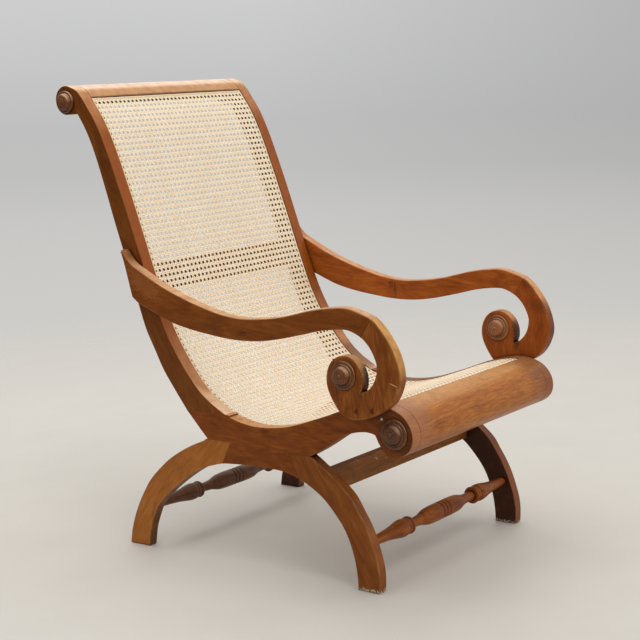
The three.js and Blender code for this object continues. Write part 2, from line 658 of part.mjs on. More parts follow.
// A bent sheet with a grid of openings. The lines run across the sheet at places along the sitting
// line, and the crossings are the openings' edges in x.
function latticeSheet(lines, crossings, isOpen) {
  const positions = [];
  const indices = [];
  const known = new Map();
  const last = crossings.length - 1;
  const ends = [0, last];
  const all = crossings.map((_, i) => i);
  const edgesOn = (line) => (isOpen(line - 1) || isOpen(line) ? all : ends);
  const point = (line, edge, depth) => {
    const key = `${line} ${edge} ${depth}`;
    if (!known.has(key)) {
      known.set(key, positions.length / 3);
      positions.push(crossings[edge], ...sunkPoint(lines[line], depth));
    }
    return known.get(key);
  };
  const quad = (a, b, c, d) => indices.push(a, b, c, a, c, d);
  const sideWall = (line, edge, facesPlus) => {
    const top = point(line, edge, caneTop);
    const nextTop = point(line + 1, edge, caneTop);
    const floor = point(line, edge, caneFloor);
    const nextFloor = point(line + 1, edge, caneFloor);
    if (facesPlus) quad(top, nextTop, nextFloor, floor);
    else quad(top, floor, nextFloor, nextTop);
  };
  const endWall = (line, edge, nextEdge, facesAlong) => {
    const top = point(line, edge, caneTop);
    const nextTop = point(line, nextEdge, caneTop);
    const floor = point(line, edge, caneFloor);
    const nextFloor = point(line, nextEdge, caneFloor);
    if (facesAlong) quad(top, floor, nextFloor, nextTop);
    else quad(top, nextTop, nextFloor, floor);
  };
  const face = (a, b, c) => {
    indices.push(...[a, b, c].map(([line, edge]) => point(line, edge, caneTop)));
    indices.push(...[a, c, b].map(([line, edge]) => point(line, edge, caneFloor)));
  };

  for (let row = 0; row < lines.length - 1; row += 1) {
    const here = edgesOn(row);
    const next = edgesOn(row + 1);
    sideWall(row, 0, false);
    sideWall(row, last, true);
    if (isOpen(row)) {
      for (let edge = 0; edge < last; edge += 2) {
        face([row, edge], [row + 1, edge], [row + 1, edge + 1]);
        face([row, edge], [row + 1, edge + 1], [row, edge + 1]);
      }
      for (let edge = 1; edge < last; edge += 2) {
        sideWall(row, edge, true);
        sideWall(row, edge + 1, false);
        if (!isOpen(row - 1)) endWall(row, edge, edge + 1, true);
        if (!isOpen(row + 1)) endWall(row + 1, edge, edge + 1, false);
      }
    } else {
      let i = 0;
      let j = 0;
      while (i < here.length - 1 || j < next.length - 1) {
        const canStep = i < here.length - 1;
        if (canStep && (j === next.length - 1 || here[i + 1] <= next[j + 1])) {
          face([row, here[i]], [row + 1, next[j]], [row, here[i + 1]]);
          i += 1;
        } else {
          face([row, here[i]], [row + 1, next[j]], [row + 1, next[j + 1]]);
          j += 1;
        }
      }
    }
  }
  endWall(0, 0, last, false);
  endWall(lines.length - 1, 0, last, true);

  const geometry = new THREE.BufferGeometry();
  geometry.setAttribute('position', new THREE.Float32BufferAttribute(positions, 3));
  geometry.setIndex(indices);
  return geometry;
}

function canePanel(from, to) {
  const lines = [from, ...sittingStops.filter((stop) => stop > from && stop < to), to];
  const bar = (2 * betweenSides - caneOpeningsAcross * caneOpeningWidth) / (caneOpeningsAcross + 1);
  const crossings = [-betweenSides];
  for (let i = 0; i < caneOpeningsAcross; i += 1) {
    const edge = -betweenSides + bar + i * (bar + caneOpeningWidth);
    crossings.push(edge, edge + caneOpeningWidth);
  }
  crossings.push(betweenSides);

  const firstRow = lines.findIndex((line) => line >= crestLipAt) + caneBarRows;
  const endRow = lines.findIndex((line) => line >= rollBackAt) - caneBarRows;
  const cycle = caneOpeningRows + caneBarRows;
  const count = Math.floor((endRow - firstRow + caneBarRows) / cycle);
  const isOpen = (row) => {
    const place = row - firstRow;
    return place >= 0 && place < count * cycle && place % cycle < caneOpeningRows;
  };
  return latticeSheet(lines, crossings, isOpen);
}

function crossPieces() {
  const group = new THREE.Group();
  const add = (name, geometry, material) => group.add(part(name, geometry, material));
  add('crest_rail', crestRail(), rollWood);
  add('front_roll', frontRoll(), rollWood);
  add('mid_back_rail', midBackRail(), innerWood);
  add('front_cross_rail', frontCrossRail(), innerWood);
  add('front_stretcher', stretcher(frontStretcherShares), turnedWood);
  add('rear_stretcher', stretcher(rearStretcherShares), turnedWood);

  const caneStart = caneTopAt + alongSitting(fitGap);
  const caneEnd = caneFrontAt - alongSitting(fitGap);
  add('cane_panel', canePanel(caneStart, caneEnd), cane);
  const binderHalf = betweenSides - binderWidth - fitGap;
  const binderSpan = alongSitting(binderWidth);
  const crestBinder = band(caneStart, caneStart + binderSpan, binderSink, binderFloor);
  add('crest_binder', prism(crestBinder, -binderHalf, binderHalf), cane);
  const rollBinder = band(caneEnd - binderSpan, caneEnd, binderSink, binderFloor);
  add('roll_binder', prism(rollBinder, -binderHalf, binderHalf), cane);
  return group;
}

const chair = new THREE.Group();
chair.add(sideFrame('right', -1), sideFrame('left', 1), crossPieces());

export default chair;
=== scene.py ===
"""Looks of the planters chair: polished hardwood boards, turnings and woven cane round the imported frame."""

import math
import random

import bmesh
import bpy
import numpy as np
from mathutils import Matrix, Vector


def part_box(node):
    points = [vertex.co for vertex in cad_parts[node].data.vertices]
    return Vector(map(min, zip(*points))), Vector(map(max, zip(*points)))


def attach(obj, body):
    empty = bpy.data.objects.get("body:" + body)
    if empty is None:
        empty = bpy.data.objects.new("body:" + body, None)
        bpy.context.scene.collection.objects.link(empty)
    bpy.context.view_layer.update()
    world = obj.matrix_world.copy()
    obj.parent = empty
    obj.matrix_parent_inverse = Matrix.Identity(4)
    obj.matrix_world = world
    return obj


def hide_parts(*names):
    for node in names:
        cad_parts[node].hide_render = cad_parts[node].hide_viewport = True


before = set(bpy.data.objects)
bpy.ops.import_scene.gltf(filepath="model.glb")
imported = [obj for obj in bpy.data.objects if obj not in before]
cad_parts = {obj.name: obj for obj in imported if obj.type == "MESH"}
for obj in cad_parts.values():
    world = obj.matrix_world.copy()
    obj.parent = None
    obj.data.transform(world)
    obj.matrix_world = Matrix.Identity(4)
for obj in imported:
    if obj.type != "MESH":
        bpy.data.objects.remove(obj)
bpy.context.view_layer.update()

MM = 0.001
SIDES = ("right", "left")

# Reading the frame
WELD = 0.02 * MM
FLAT_END = 0.999
X_DIGITS = 5
CORNER = math.radians(24)
SHEET_CORNER = math.radians(60)

# Boards
EASED_ARRIS = 1.4 * MM
ARM_ARRIS = 2.8 * MM
SCROLL_ARRIS = 5.0 * MM
RAIL_ARRIS = 1.2 * MM
JOINT_ARRIS = 0.35 * MM
JOINT_REACH = 1.0 * MM
ARRIS_STEPS = 4
NEARLY_STRAIGHT = 0.4
SHARP_BOARD = math.radians(35)
FLAT_WEIGHT = 80
# In front of this y the edges of the seat boards have the roll's wood
ROLL_REACH = -355 * MM
EDGE_FACE = 0.5
# Where the cane meets the crest rail (y, z)
CREST_SEAT = (365.6 * MM, 947.8 * MM)
# Which boards meet along an edge of their outlines
JOINED = {
    "arm_rail": ("arm_scroll",), "arm_scroll": ("arm_rail",),
    "back_stile": ("seat_board",), "seat_board": ("back_stile", "rear_leg", "front_leg"),
    "rear_leg": ("seat_board",), "front_leg": ("seat_board",),
}

# How an arm's edges are rubbed round: the way that faces the hand, and from which y forwards.
# A bend is the turn of the outline's heading over a few edges. The arrises are blurred along it
RUBBED_WAY = np.array([-0.62, 0.78])
RUBBED_FROM = 160 * MM
RUBBED_REACH = 420 * MM
BEND_REACH = 5
FULL_BEND = 0.12
TOP_FACE = 0.9
BLUR = 3

# Where the feet are chipped: distance from the middle of the chair, y, and size, in mm
FOOT_CHIPS = {
    "front_leg": ((277, -358, 3.4), (277.4, -349, 2.4), (277, -339, 3.6), (277.6, -327, 2.4),
                  (277, -313, 3.0), (268, -359.5, 2.6), (257, -359, 3.6)),
    "rear_leg": ((277.4, 262, 2.0), (277.4, 283, 2.6), (255, 237, 2.4)),
}
LUMP_SPREAD = (0.72, 1.12)
LUMP_SHAPE = (1.5, 1.3, 1.0)
LUMP_SUNK = 0.25
LUMP_TURN = 1.3

# Turnings
PROFILE_PARTS = 3
TURNED_SIDES = 72
SHARP_TURNING = math.radians(50)
FULL_HOLLOW = math.radians(20)

# Cane
HOLE_INSET = 5 * MM
FIRST_ROW = 12.5 * MM
HOLES_ACROSS = 39
SHEET_MARGIN = 4 * MM
SLOPE_REACH = 2 * MM
STRAND = 3.1 * MM
STRAND_THICKNESS = 0.55 * MM
DIAGONAL = 2.9 * MM
DIAGONAL_LIFT = 1.6
SPARE_STEPS = 8
PAIR_HALF = 1.75 * MM
WEAVE_LIFT = 0.42 * MM
BINDER_RISE = 1.1 * MM
BINDER_WIDTH = 4.2 * MM
BINDER_INSET = 0.2 * MM
BINDER_LIFT = 1.15 * MM
WANDER = ((0.12 * MM, 61), (0.1 * MM, 173))
LOOP = 1.9 * MM
LOOP_THICKNESS = 0.5 * MM
LOOP_SLANT = (-0.5, 0.9)
# A loop's points: share of the binder's width across it, and share of its rise above it
LOOP_ACROSS = np.array([0.06, 0.1, 0.3, 0.5, 0.72, 0.98, 1.06])
LOOP_RISE = np.array([-0.7, -0.05, 0.7, 0.85, 0.7, -0.05, -0.9])
# Sections of a strip from edge to edge: shares of half its width and of half its thickness
FLAT_STRIP = ((-1, -0.7), (-0.5, 1), (0.5, 1), (1, -0.7))
DOMED_STRIP = ((-1, -1), (-0.92, 0), (-0.6, 0.7), (0, 1), (0.6, 0.7), (0.92, 0), (1, -1))

random.seed(7)


# Outlines taken from the frame

def flat_ends(bm, sign):
    """The area of the flat faces that face +X or -X, by their x."""
    areas = {}
    for face in bm.faces:
        if sign * face.normal.x > FLAT_END:
            x = round(face.verts[0].co.x, X_DIGITS)
            areas[x] = areas.get(x, 0) + face.calc_area()
    return areas


def loops_round(faces):
    """The closed outlines of some faces, each as its points (y, z) in order."""
    inside = set(faces)
    follow = {}
    for face in faces:
        for loop in face.loops:
            if loop.link_loop_radial_next.face not in inside:
                follow[loop.vert] = loop.link_loop_next.vert
    loops = []
    while follow:
        start, vert = follow.popitem()
        chain = [start]
        while vert is not start:
            chain.append(vert)
            vert = follow.pop(vert)
        loops.append(np.array([(v.co.y, v.co.z) for v in chain]))
    return loops


def cap(node):
    """The x of a node's two largest flat ends, and the high one's outline from its highest point."""
    bm = bmesh.new()
    bm.from_mesh(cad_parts[node].data)
    bmesh.ops.remove_doubles(bm, verts=bm.verts, dist=WELD)
    bm.normal_update()
    low, high = (max(areas, key=areas.get) for areas in (flat_ends(bm, -1), flat_ends(bm, 1)))
    faces = [f for f in bm.faces if f.normal.x > FLAT_END and abs(f.verts[0].co.x - high) < WELD]
    outline = max(loops_round(faces), key=lambda points: np.prod(np.ptp(points, axis=0)))
    bm.free()
    return low, high, np.roll(outline, -np.argmax(outline[:, 1]), axis=0)


def turn_at(points, i):
    """The angle by which a closed polyline turns at a point."""
    before = points[i] - points[i - 1]
    after = points[(i + 1) % len(points)] - points[i]
    cross = before[0] * after[1] - before[1] * after[0]
    return abs(math.atan2(cross, before @ after))


def rounded(points, parts, closed=True):
    """A polyline with its gentle bends made smooth. Bends sharper than a corner stay."""
    count = len(points)
    ends = () if closed else (0, count - 1)
    sharp = {i for i in range(count) if i in ends or turn_at(points, i) > CORNER}
    out = []
    for i in range(count if closed else count - 1):
        j = (i + 1) % count
        a, b = points[i], points[j]
        before = 2 * a - b if i in sharp else points[i - 1]
        after = 2 * b - a if j in sharp else points[(j + 1) % count]
        for t in np.arange(parts) / parts:
            out.append(0.5 * (2 * a + (b - before) * t + (2 * before - 5 * a + 4 * b - after) * t * t
                              + (3 * a - before - 3 * b + after) * t ** 3))
    if not closed:
        out.append(points[-1])
    return np.array(out)


def smooth_profile(points):
    """A turning's profile with its gentle bends made smooth."""
    return [tuple(p) for p in rounded(np.array(points, float), PROFILE_PARTS, closed=False)]


def edges_of(outline):
    """The edges of an outline as vectors, and their unit normals, which point out of it."""
    run = np.roll(outline, -1, axis=0) - outline
    outward = np.stack([run[:, 1], -run[:, 0]], axis=1) / np.linalg.norm(run, axis=1, keepdims=True)
    return run, outward


def distance_to(points, outline):
    """How far each point is from a closed outline."""
    run = np.roll(outline, -1, axis=0) - outline
    share = ((points[:, None] - outline) * run).sum(axis=2) / (run ** 2).sum(axis=1)
    nearest = outline + np.clip(share, 0, 1)[..., None] * run
    return np.linalg.norm(points[:, None] - nearest, axis=2).min(axis=1)


# Building pieces

def new_object(name, vertices, faces, material, smooth=True):
    """A mesh object in the scene."""
    mesh = bpy.data.meshes.new(name)
    mesh.from_pydata([tuple(v) for v in vertices], [], [tuple(int(i) for i in f) for f in faces])
    mesh.materials.append(material)
    mesh.polygons.foreach_set("use_smooth", [smooth] * len(mesh.polygons))
    piece = bpy.data.objects.new(name, mesh)
    bpy.context.scene.collection.objects.link(piece)
    return piece


def note_points(piece, name, values):
    """Stores a number with each vertex, which the piece's material reads."""
    piece.data.attributes.new(name, "FLOAT", "POINT").data.foreach_set("value", values)


def applied(piece):
    """The piece with its modifiers made part of its mesh."""
    bpy.context.view_layer.update()
    evaluated = piece.evaluated_get(bpy.context.evaluated_depsgraph_get())
    mesh = bpy.data.meshes.new_from_object(evaluated)
    mesh.name = piece.name
    piece.modifiers.clear()
    piece.data = mesh
    return piece


def settle_normals(piece):
    """Smooth shading that leaves broad faces flat."""
    piece.data.set_sharp_from_angle(angle=SHARP_BOARD)
    weighted = piece.modifiers.new("normals", "WEIGHTED_NORMAL")
    weighted.keep_sharp = True
    weighted.weight = FLAT_WEIGHT
    return applied(piece)


def settle(piece, node):
    """Puts a piece in its node's place."""
    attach(piece, "root")
    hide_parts(node)


def corner_steps(outline, reaches):
    """The steps to an outline's corners from where they lie once each edge has moved in by its reach."""
    after = edges_of(outline)[1]
    before = np.roll(after, 1, axis=0)
    reach_before = np.roll(reaches, 1)
    cross = before[:, 0] * after[:, 1] - before[:, 1] * after[:, 0]
    straight = np.abs(cross) < NEARLY_STRAIGHT
    divisor = np.where(straight, 1, cross)
    steps = np.stack([(after[:, 1] * reach_before - before[:, 1] * reaches) / divisor,
                      (before[:, 0] * reaches - after[:, 0] * reach_before) / divisor], axis=1)
    middle = before + after
    middle *= ((reach_before + reaches) / (middle ** 2).sum(axis=1))[:, None]
    return np.where(straight[:, None], middle, steps)


def prism(name, outline, low, high, arrises, material):
    """A board between two planes of x, each outline edge rounded by its own arris at both ends."""
    count = len(outline)
    reaches = np.asarray(arrises, float)
    steps = corner_steps(outline, reaches)
    depth = np.maximum((np.roll(reaches, 1) + reaches) / 2, JOINT_ARRIS)
    angles = np.linspace(0, math.pi / 2, ARRIS_STEPS + 1)
    rings = [(low + depth * (1 - math.sin(a)), 1 - math.cos(a)) for a in angles[::-1]]
    rings += [(high - depth * (1 - math.sin(a)), 1 - math.cos(a)) for a in angles]
    vertices = [(x, y, z) for xs, share in rings for x, (y, z) in zip(xs, outline - steps * share)]
    last = (len(rings) - 1) * count
    faces = [[*range(last, last + count)], [*range(count - 1, -1, -1)]]
    for base in range(0, last, count):
        faces += [[base + i, base + (i + 1) % count, base + (i + 1) % count + count, base + i + count]
                  for i in range(count)]
    return new_object(name, vertices, faces, material)


def arm_arrises(outline, middles, least):
    """An arm's edges are rubbed round: most at the front and on top, least in the scroll's hollow."""
    run, outward = edges_of(outline)
    heading = np.unwrap(np.arctan2(run[:, 1], run[:, 0]))
    heading = np.concatenate([heading, heading[:BEND_REACH] + 2 * math.pi])
    swells = np.clip((heading[BEND_REACH:] - heading[:-BEND_REACH]) / FULL_BEND, 0, 1)
    swells = np.maximum(swells, outward[:, 1] > TOP_FACE)
    raised = np.clip(outward @ RUBBED_WAY, 0, 1)
    front = np.clip((RUBBED_FROM - middles[:, 0]) / RUBBED_REACH, 0, 1)
    wanted = least + (SCROLL_ARRIS - least) * front * raised * swells
    padded = np.concatenate([wanted[-BLUR:], wanted, wanted[:BLUR]])
    window = np.ones(2 * BLUR + 1)
    return np.convolve(padded, window / len(window), "valid")


def board(node, material, arris, parts):
    """A board with eased edges in place of a flat node. Edges where it meets another board stay sharp."""
    low, high, outline = cap(node)
    outline = rounded(outline, parts)
    middles = (outline + np.roll(outline, -1, axis=0)) / 2
    kind, _, side = node.rpartition("_")
    arrises = np.full(len(outline), arris)
    if kind.startswith("arm"):
        arrises = arm_arrises(outline, middles, arris)
    if kind == "seat_board":
        arrises[middles[:, 0] < ROLL_REACH] = RAIL_ARRIS
    for partner in JOINED.get(kind, ()):
        arrises[distance_to(middles, cap(f"{partner}_{side}")[2]) < JOINT_REACH] = JOINT_ARRIS
    piece = prism(f"{node}_board", outline, low, high, arrises, material)
    jointed = (arrises == JOINT_ARRIS) | (np.roll(arrises, 1) == JOINT_ARRIS)
    note_points(piece, "jointed", np.resize(jointed.astype(float), len(piece.data.vertices)))
    if kind in FOOT_CHIPS:
        chip(piece, FOOT_CHIPS[kind], side)
    if kind == "seat_board":
        repaint(piece, ROLL, lambda face: abs(face.normal.x) < EDGE_FACE and face.center.y < ROLL_REACH)
    if node == "crest_rail":
        y, z = CREST_SEAT
        repaint(piece, SHADED, lambda face: face.center.y < y and face.center.z < z)
    settle_normals(piece)
    settle(piece, node)


def repaint(piece, material, chosen):
    """Gives some of a piece's faces another material."""
    piece.data.materials.append(material)
    for face in piece.data.polygons:
        if chosen(face):
            face.material_index = 1


def chip(piece, places, side):
    """Breaks small lumps out of a foot's lower edges."""
    outward = -1 if side == "right" else 1
    for number, (x, y, size) in enumerate(places):
        bm = bmesh.new()
        bmesh.ops.create_icosphere(bm, subdivisions=2, radius=1)
        for vert in bm.verts:
            vert.co *= random.uniform(*LUMP_SPREAD)
        mesh = bpy.data.meshes.new("lump")
        bm.to_mesh(mesh)
        bm.free()
        mesh.materials.append(RAW)
        lump = bpy.data.objects.new("lump", mesh)
        lump.location = (outward * x * MM, y * MM, -LUMP_SUNK * size * MM)
        lump.scale = [size * part * MM for part in LUMP_SHAPE]
        lump.rotation_euler = (0, 0, number * LUMP_TURN)
        bpy.context.scene.collection.objects.link(lump)
        cut = piece.modifiers.new("chip", "BOOLEAN")
        cut.operation = "DIFFERENCE"
        cut.object = lump
        cut.material_mode = "TRANSFER"
        applied(piece)
        bpy.data.objects.remove(lump)


def hollows(profile):
    """How sharply a turning's profile turns inwards at each point, from 0 to 1."""
    run = np.diff(np.array(profile), axis=0)
    cross = run[:-1, 0] * run[1:, 1] - run[:-1, 1] * run[1:, 0]
    turn = np.arctan2(cross, (run[:-1] * run[1:]).sum(axis=1))
    return np.clip(np.concatenate([[0], turn, [0]]) / FULL_HOLLOW, 0, 1)


def turned(name, profile, centre, direction, material):
    """A turning on a line along X. The profile is (distance from the centre, radius)."""
    x, y, z = centre
    angles = np.linspace(0, 2 * math.pi, TURNED_SIDES, endpoint=False)
    vertices = [(x + direction * reach, y + r * math.cos(a), z + direction * r * math.sin(a))
                for reach, r in profile for a in angles]
    last = (len(profile) - 1) * TURNED_SIDES
    faces = []
    for ring in range(0, last, TURNED_SIDES):
        for i in range(TURNED_SIDES):
            j = (i + 1) % TURNED_SIDES
            faces.append([ring + j, ring + i, ring + TURNED_SIDES + i, ring + TURNED_SIDES + j])
    faces += [[*range(TURNED_SIDES)], [*range(last + TURNED_SIDES - 1, last - 1, -1)]]
    piece = new_object(name, vertices, faces, material)
    piece.data.set_sharp_from_angle(angle=SHARP_TURNING)
    note_points(piece, "hollow", np.repeat(hollows(profile), TURNED_SIDES))
    return piece


# Materials

SHADE_SAMPLES = 6
RIM_NOISE = 260.0
MOTTLE_NOISE = 55.0

# Grain noises, coarse to fine: length along the grain and across it, detail, roughness, distortion
GRAIN = (
    (90 * MM, 26 * MM, 3.0, 0.55, 1.2),
    (60 * MM, 4.8 * MM, 3.0, 0.55, 1.1),
    (26 * MM, 1.7 * MM, 4.0, 0.6, 0.5),
    (9 * MM, 0.8 * MM, 3.0, 0.6, 0.0),
)
BAND_AMOUNT = 0.6
STREAK_AMOUNT = 0.75
FINE_AMOUNT = 0.7
FLECK_AMOUNT = 0.4
FLECK_SHADE = 0.6
# Pale edges: how wide and how patchy they are. Their pale tone is wear and also a painted highlight
PALE_EDGE_WIDTH = 4 * MM
PALE_EDGE_NOISE = 38.0
EDGE_OPEN = 3 * MM
RUBBED_ROUGHNESS = 0.1
WAVE_NOISE = 22.0
WAVE_HEIGHT = 0.9 * MM
STREAK_HEIGHT = 0.14 * MM
PORE_DEPTH = 0.06 * MM
# Grime and painted shade: the dark tone, and how much of it goes into a turning's grooves, into crevices, and
# deep between pieces, where it is painted shade
GRIME_AND_SHADE = (34, 16, 7)
GROOVE_GRIME_AND_SHADE = 0.92
CREVICE_GRIME_AND_SHADE = 0.65
DEEP_SHADE_REACH = 70 * MM
DEEP_PAINTED_SHADE = 0.55

CANE_PATCHES = 9.0
CANE_FIBRES = 420.0
STRAND_AMOUNT = 0.5
PATCH_AMOUNT = 0.15
FIBRE_AMOUNT = 0.25
FIBRE_HEIGHT = 0.1 * MM
CANE_ROUGHNESS = 0.5
BRASS_NOISE = 900.0


class Shader:
    """The nodes of a material or of the world while they are wired up."""

    def __init__(self, owner):
        owner.use_nodes = True
        self.owner = owner
        self.tree = owner.node_tree
        self.surface = self.tree.nodes.get("Principled BSDF")

    def add(self, kind, feeds=(), **settings):
        node = self.tree.nodes.new(kind)
        for key, value in settings.items():
            setattr(node, key, value)
        for key, value in dict(feeds).items():
            self.feed(node.inputs[key], value)
        return node

    def feed(self, socket, value):
        if isinstance(value, bpy.types.NodeSocket):
            self.tree.links.new(value, socket)
        else:
            socket.default_value = value

    def finish(self, feeds):
        """Feeds the surface's own sockets, and gives the finished material."""
        for key, value in feeds.items():
            self.feed(self.surface.inputs[key], value)
        return self.owner

    def math(self, operation, a, b):
        return self.add("ShaderNodeMath", {0: a, 1: b}, operation=operation).outputs[0]

    def dot(self, a, b):
        return self.add("ShaderNodeVectorMath", {0: a, 1: b}, operation="DOT_PRODUCT").outputs["Value"]

    def length(self, vector):
        return self.add("ShaderNodeVectorMath", {0: vector}, operation="LENGTH").outputs["Value"]

    def mix(self, share, a, b):
        feeds = {"Factor": share, "A": a, "B": b}
        return self.add("ShaderNodeMix", feeds, data_type="RGBA").outputs["Result"]

    def span(self, value, low, high, to_low=0.0, to_high=1.0):
        """A value's place between two others, held between the ends of another range."""
        feeds = {"Value": value, "From Min": low, "From Max": high, "To Min": to_low, "To Max": to_high}
        return self.add("ShaderNodeMapRange", feeds, clamp=True).outputs["Result"]

    def ramp(self, value, stops):
        """A tone by a value. The stops are (position, tone)."""
        node = self.add("ShaderNodeValToRGB", {"Fac": value})
        elements = node.color_ramp.elements
        while len(elements) < len(stops):
            elements.new(0.5)
        for element, (position, code) in zip(elements, stops):
            element.position = position
            element.color = tone(code)
        return node.outputs["Color"]

    def noise(self, vector, scale, detail, roughness, distortion=0.0):
        feeds = {"Vector": vector, "Scale": scale, "Detail": detail, "Roughness": roughness,
                 "Distortion": distortion}
        return self.add("ShaderNodeTexNoise", feeds).outputs["Fac"]

    def bump(self, height, distance, normal=None):
        feeds = {"Height": height, "Distance": distance, "Strength": 1.0}
        if normal is not None:
            feeds["Normal"] = normal
        return self.add("ShaderNodeBump", feeds).outputs["Normal"]

    def noted(self, name):
        """A number stored with the piece's vertices, or 0 where it has none of that name."""
        return self.add("ShaderNodeAttribute", attribute_name=name).outputs["Fac"]

    def closed_in(self, distance):
        """1 in the open and towards 0 where other surfaces stand round within a distance."""
        feeds = {"Distance": distance}
        return self.add("ShaderNodeAmbientOcclusion", feeds, samples=SHADE_SAMPLES).outputs["AO"]

    def where(self):
        return self.add("ShaderNodeTexCoord").outputs["Object"]

    def place(self, turn=0.0, shift=(0.0, 0.0, 0.0)):
        """Object coordinates turned about X, so that a board's grain lies along Y."""
        feeds = {"Vector": self.where(), "Rotation": (-turn, 0.0, 0.0), "Location": shift}
        return self.add("ShaderNodeMapping", feeds, vector_type="POINT").outputs["Vector"]

    def marked(self, colour, centre, size, code, amount, turn, ragged):
        """A patch of another tone at a place, ragged at its rim. Lengths in mm, turns in degrees."""
        place = self.where()
        feeds = {"Vector": place, "Location": [c * MM for c in centre],
                 "Rotation": [math.radians(t) for t in turn], "Scale": [length * MM for length in size]}
        near = self.add("ShaderNodeMapping", feeds, vector_type="TEXTURE").outputs["Vector"]
        rough = self.span(self.noise(place, RIM_NOISE, 3.0, 0.6), 0.3, 0.7, -ragged, ragged)
        inside = self.span(self.math("ADD", self.length(near), rough), 1.0, 0.55, 0.0, amount)
        return self.mix(inside, colour, tone(code))

    def light_and_shade_by_facing(self, colour, normal, direction, low, high, code, amount):
        """Painted light and shade: another tone where the surface faces a direction, a little mottled."""
        toward = self.dot(normal, Vector(direction).normalized())
        mottle = self.span(self.noise(self.where(), MOTTLE_NOISE, 3.0, 0.6), 0.35, 0.6, 0.62, 1.0)
        share = self.math("MULTIPLY", self.span(toward, low, high, 0.0, amount), mottle)
        return self.mix(share, colour, tone(code))


def tone(code):
    """A colour written as red, green, blue from 0 to 255, as the screen shows it."""
    values = [c / 255 for c in code]
    return (*[c / 12.92 if c <= 0.04045 else ((c + 0.055) / 1.055) ** 2.4 for c in values], 1.0)


def grain_noises(shader, place, across):
    """Noises drawn out along the grain, coarse to fine."""
    noises = []
    for along, sideways, detail, roughness, distortion in GRAIN:
        scale = [1 / sideways] * 3
        scale[0 if across else 1] = 1 / along
        drawn = shader.add("ShaderNodeMapping", {"Vector": place, "Scale": scale}).outputs["Vector"]
        noises.append(shader.noise(drawn, 1.0, detail, roughness, distortion))
    return noises


def grain_colour(shader, noises, amounts, flecks, dark, mid, light):
    """Dark, middle and light wood by the grain's noises, with small dark flecks."""
    level = 0.5
    for source, amount in zip(noises, amounts):
        swing = shader.math("MULTIPLY", shader.math("SUBTRACT", source, 0.5), amount)
        level = shader.math("ADD", level, swing)
    colour = shader.ramp(level, ((0.0, dark), (0.5, mid), (1.0, light)))
    return shader.mix(shader.math("MULTIPLY", flecks, FLECK_AMOUNT), colour,
                      tone([c * FLECK_SHADE for c in dark]))


def rubbed_and_highlit_edges(shader, place, normal, wear_and_highlight):
    """Where a board's edges are rubbed pale, in patches, which also paints a highlight along them. Its edges
    at a joint aren't.
    """
    bevel = shader.add("ShaderNodeBevel", {"Radius": PALE_EDGE_WIDTH}, samples=SHADE_SAMPLES)
    bent = shader.span(shader.dot(normal, bevel.outputs["Normal"]), 0.994, 0.86)
    patches = shader.span(shader.noise(place, PALE_EDGE_NOISE, 3.0, 0.6), 0.36, 0.66)
    proud = shader.math("MULTIPLY", bent, shader.span(shader.closed_in(EDGE_OPEN), 0.85, 0.98))
    open_edge = shader.math("MULTIPLY", proud, shader.span(shader.noted("jointed"), 0.5, 0.0))
    return shader.math("MULTIPLY", shader.math("MULTIPLY", open_edge, patches), wear_and_highlight)


def grimed_and_shaded(shader, colour, crevice):
    """Dark grime and painted shade in a turning's grooves and in crevices, and painted shade deep between
    pieces.
    """
    grooves = shader.math("MULTIPLY", shader.noted("hollow"), GROOVE_GRIME_AND_SHADE)
    colour = shader.mix(grooves, colour, tone(GRIME_AND_SHADE))
    near, deep = (crevice, 0.35, 0.92, CREVICE_GRIME_AND_SHADE), (DEEP_SHADE_REACH, 0.25, 0.6, DEEP_PAINTED_SHADE)
    for reach, full, none, amount in (near, deep):
        depth = shader.span(shader.closed_in(reach), full, none, amount, 0.0)
        colour = shader.mix(depth, colour, tone(GRIME_AND_SHADE))
    return colour


def wood_relief(shader, place, streak, flecks):
    """Slow waves under the polish, the ridges of the grain, and its pores."""
    relief = shader.bump(shader.noise(place, WAVE_NOISE, 2.0, 0.5), WAVE_HEIGHT)
    relief = shader.bump(streak, STREAK_HEIGHT, relief)
    return shader.bump(shader.math("SUBTRACT", 1.0, flecks), PORE_DEPTH, relief)


def wood(name, dark, mid, light, turn=0.0, across=False, gloss=0.4, worn_and_sheen=(204, 142, 84), wear_and_highlight=0.5,
         figure=1.0, shift=0.0, shine=0.16, crevice=6 * MM, clouds=1.1, marks=(), sides=()):
    """Polished hardwood. The grain runs along Y turned about X, or along X where across is set."""
    shader = Shader(bpy.data.materials.new(name))
    place = shader.place(math.radians(turn), (shift, shift, shift))
    noises = grain_noises(shader, place, across)
    streak, fine = noises[2:]
    flecks = shader.span(fine, 0.6, 0.72)
    amounts = (clouds, BAND_AMOUNT * figure, STREAK_AMOUNT * figure, FINE_AMOUNT)
    colour = grain_colour(shader, noises, amounts, flecks, dark, mid, light)

    normal = shader.add("ShaderNodeNewGeometry").outputs["Normal"]
    # Painted light and shade on the faces that turn each way
    for side in sides:
        colour = shader.light_and_shade_by_facing(colour, normal, *side)
    for mark in marks:
        colour = shader.marked(colour, *mark)
    # The pale tone along open edges is wear and also a painted highlight along the arrises
    rubbed = rubbed_and_highlit_edges(shader, place, normal, wear_and_highlight)
    # Grime and painted shade in grooves and crevices, and painted shade deep between pieces
    colour = grimed_and_shaded(shader, shader.mix(rubbed, colour, tone(worn_and_sheen)), crevice)

    rough = shader.math("ADD", shader.span(streak, 0.3, 0.7, -0.05, 0.07), gloss)
    rough = shader.math("ADD", rough, shader.math("MULTIPLY", rubbed, RUBBED_ROUGHNESS))
    relief = wood_relief(shader, place, streak, flecks)
    return shader.finish({"Base Color": colour, "Roughness": rough, "Normal": relief,
                          "Specular IOR Level": shine})


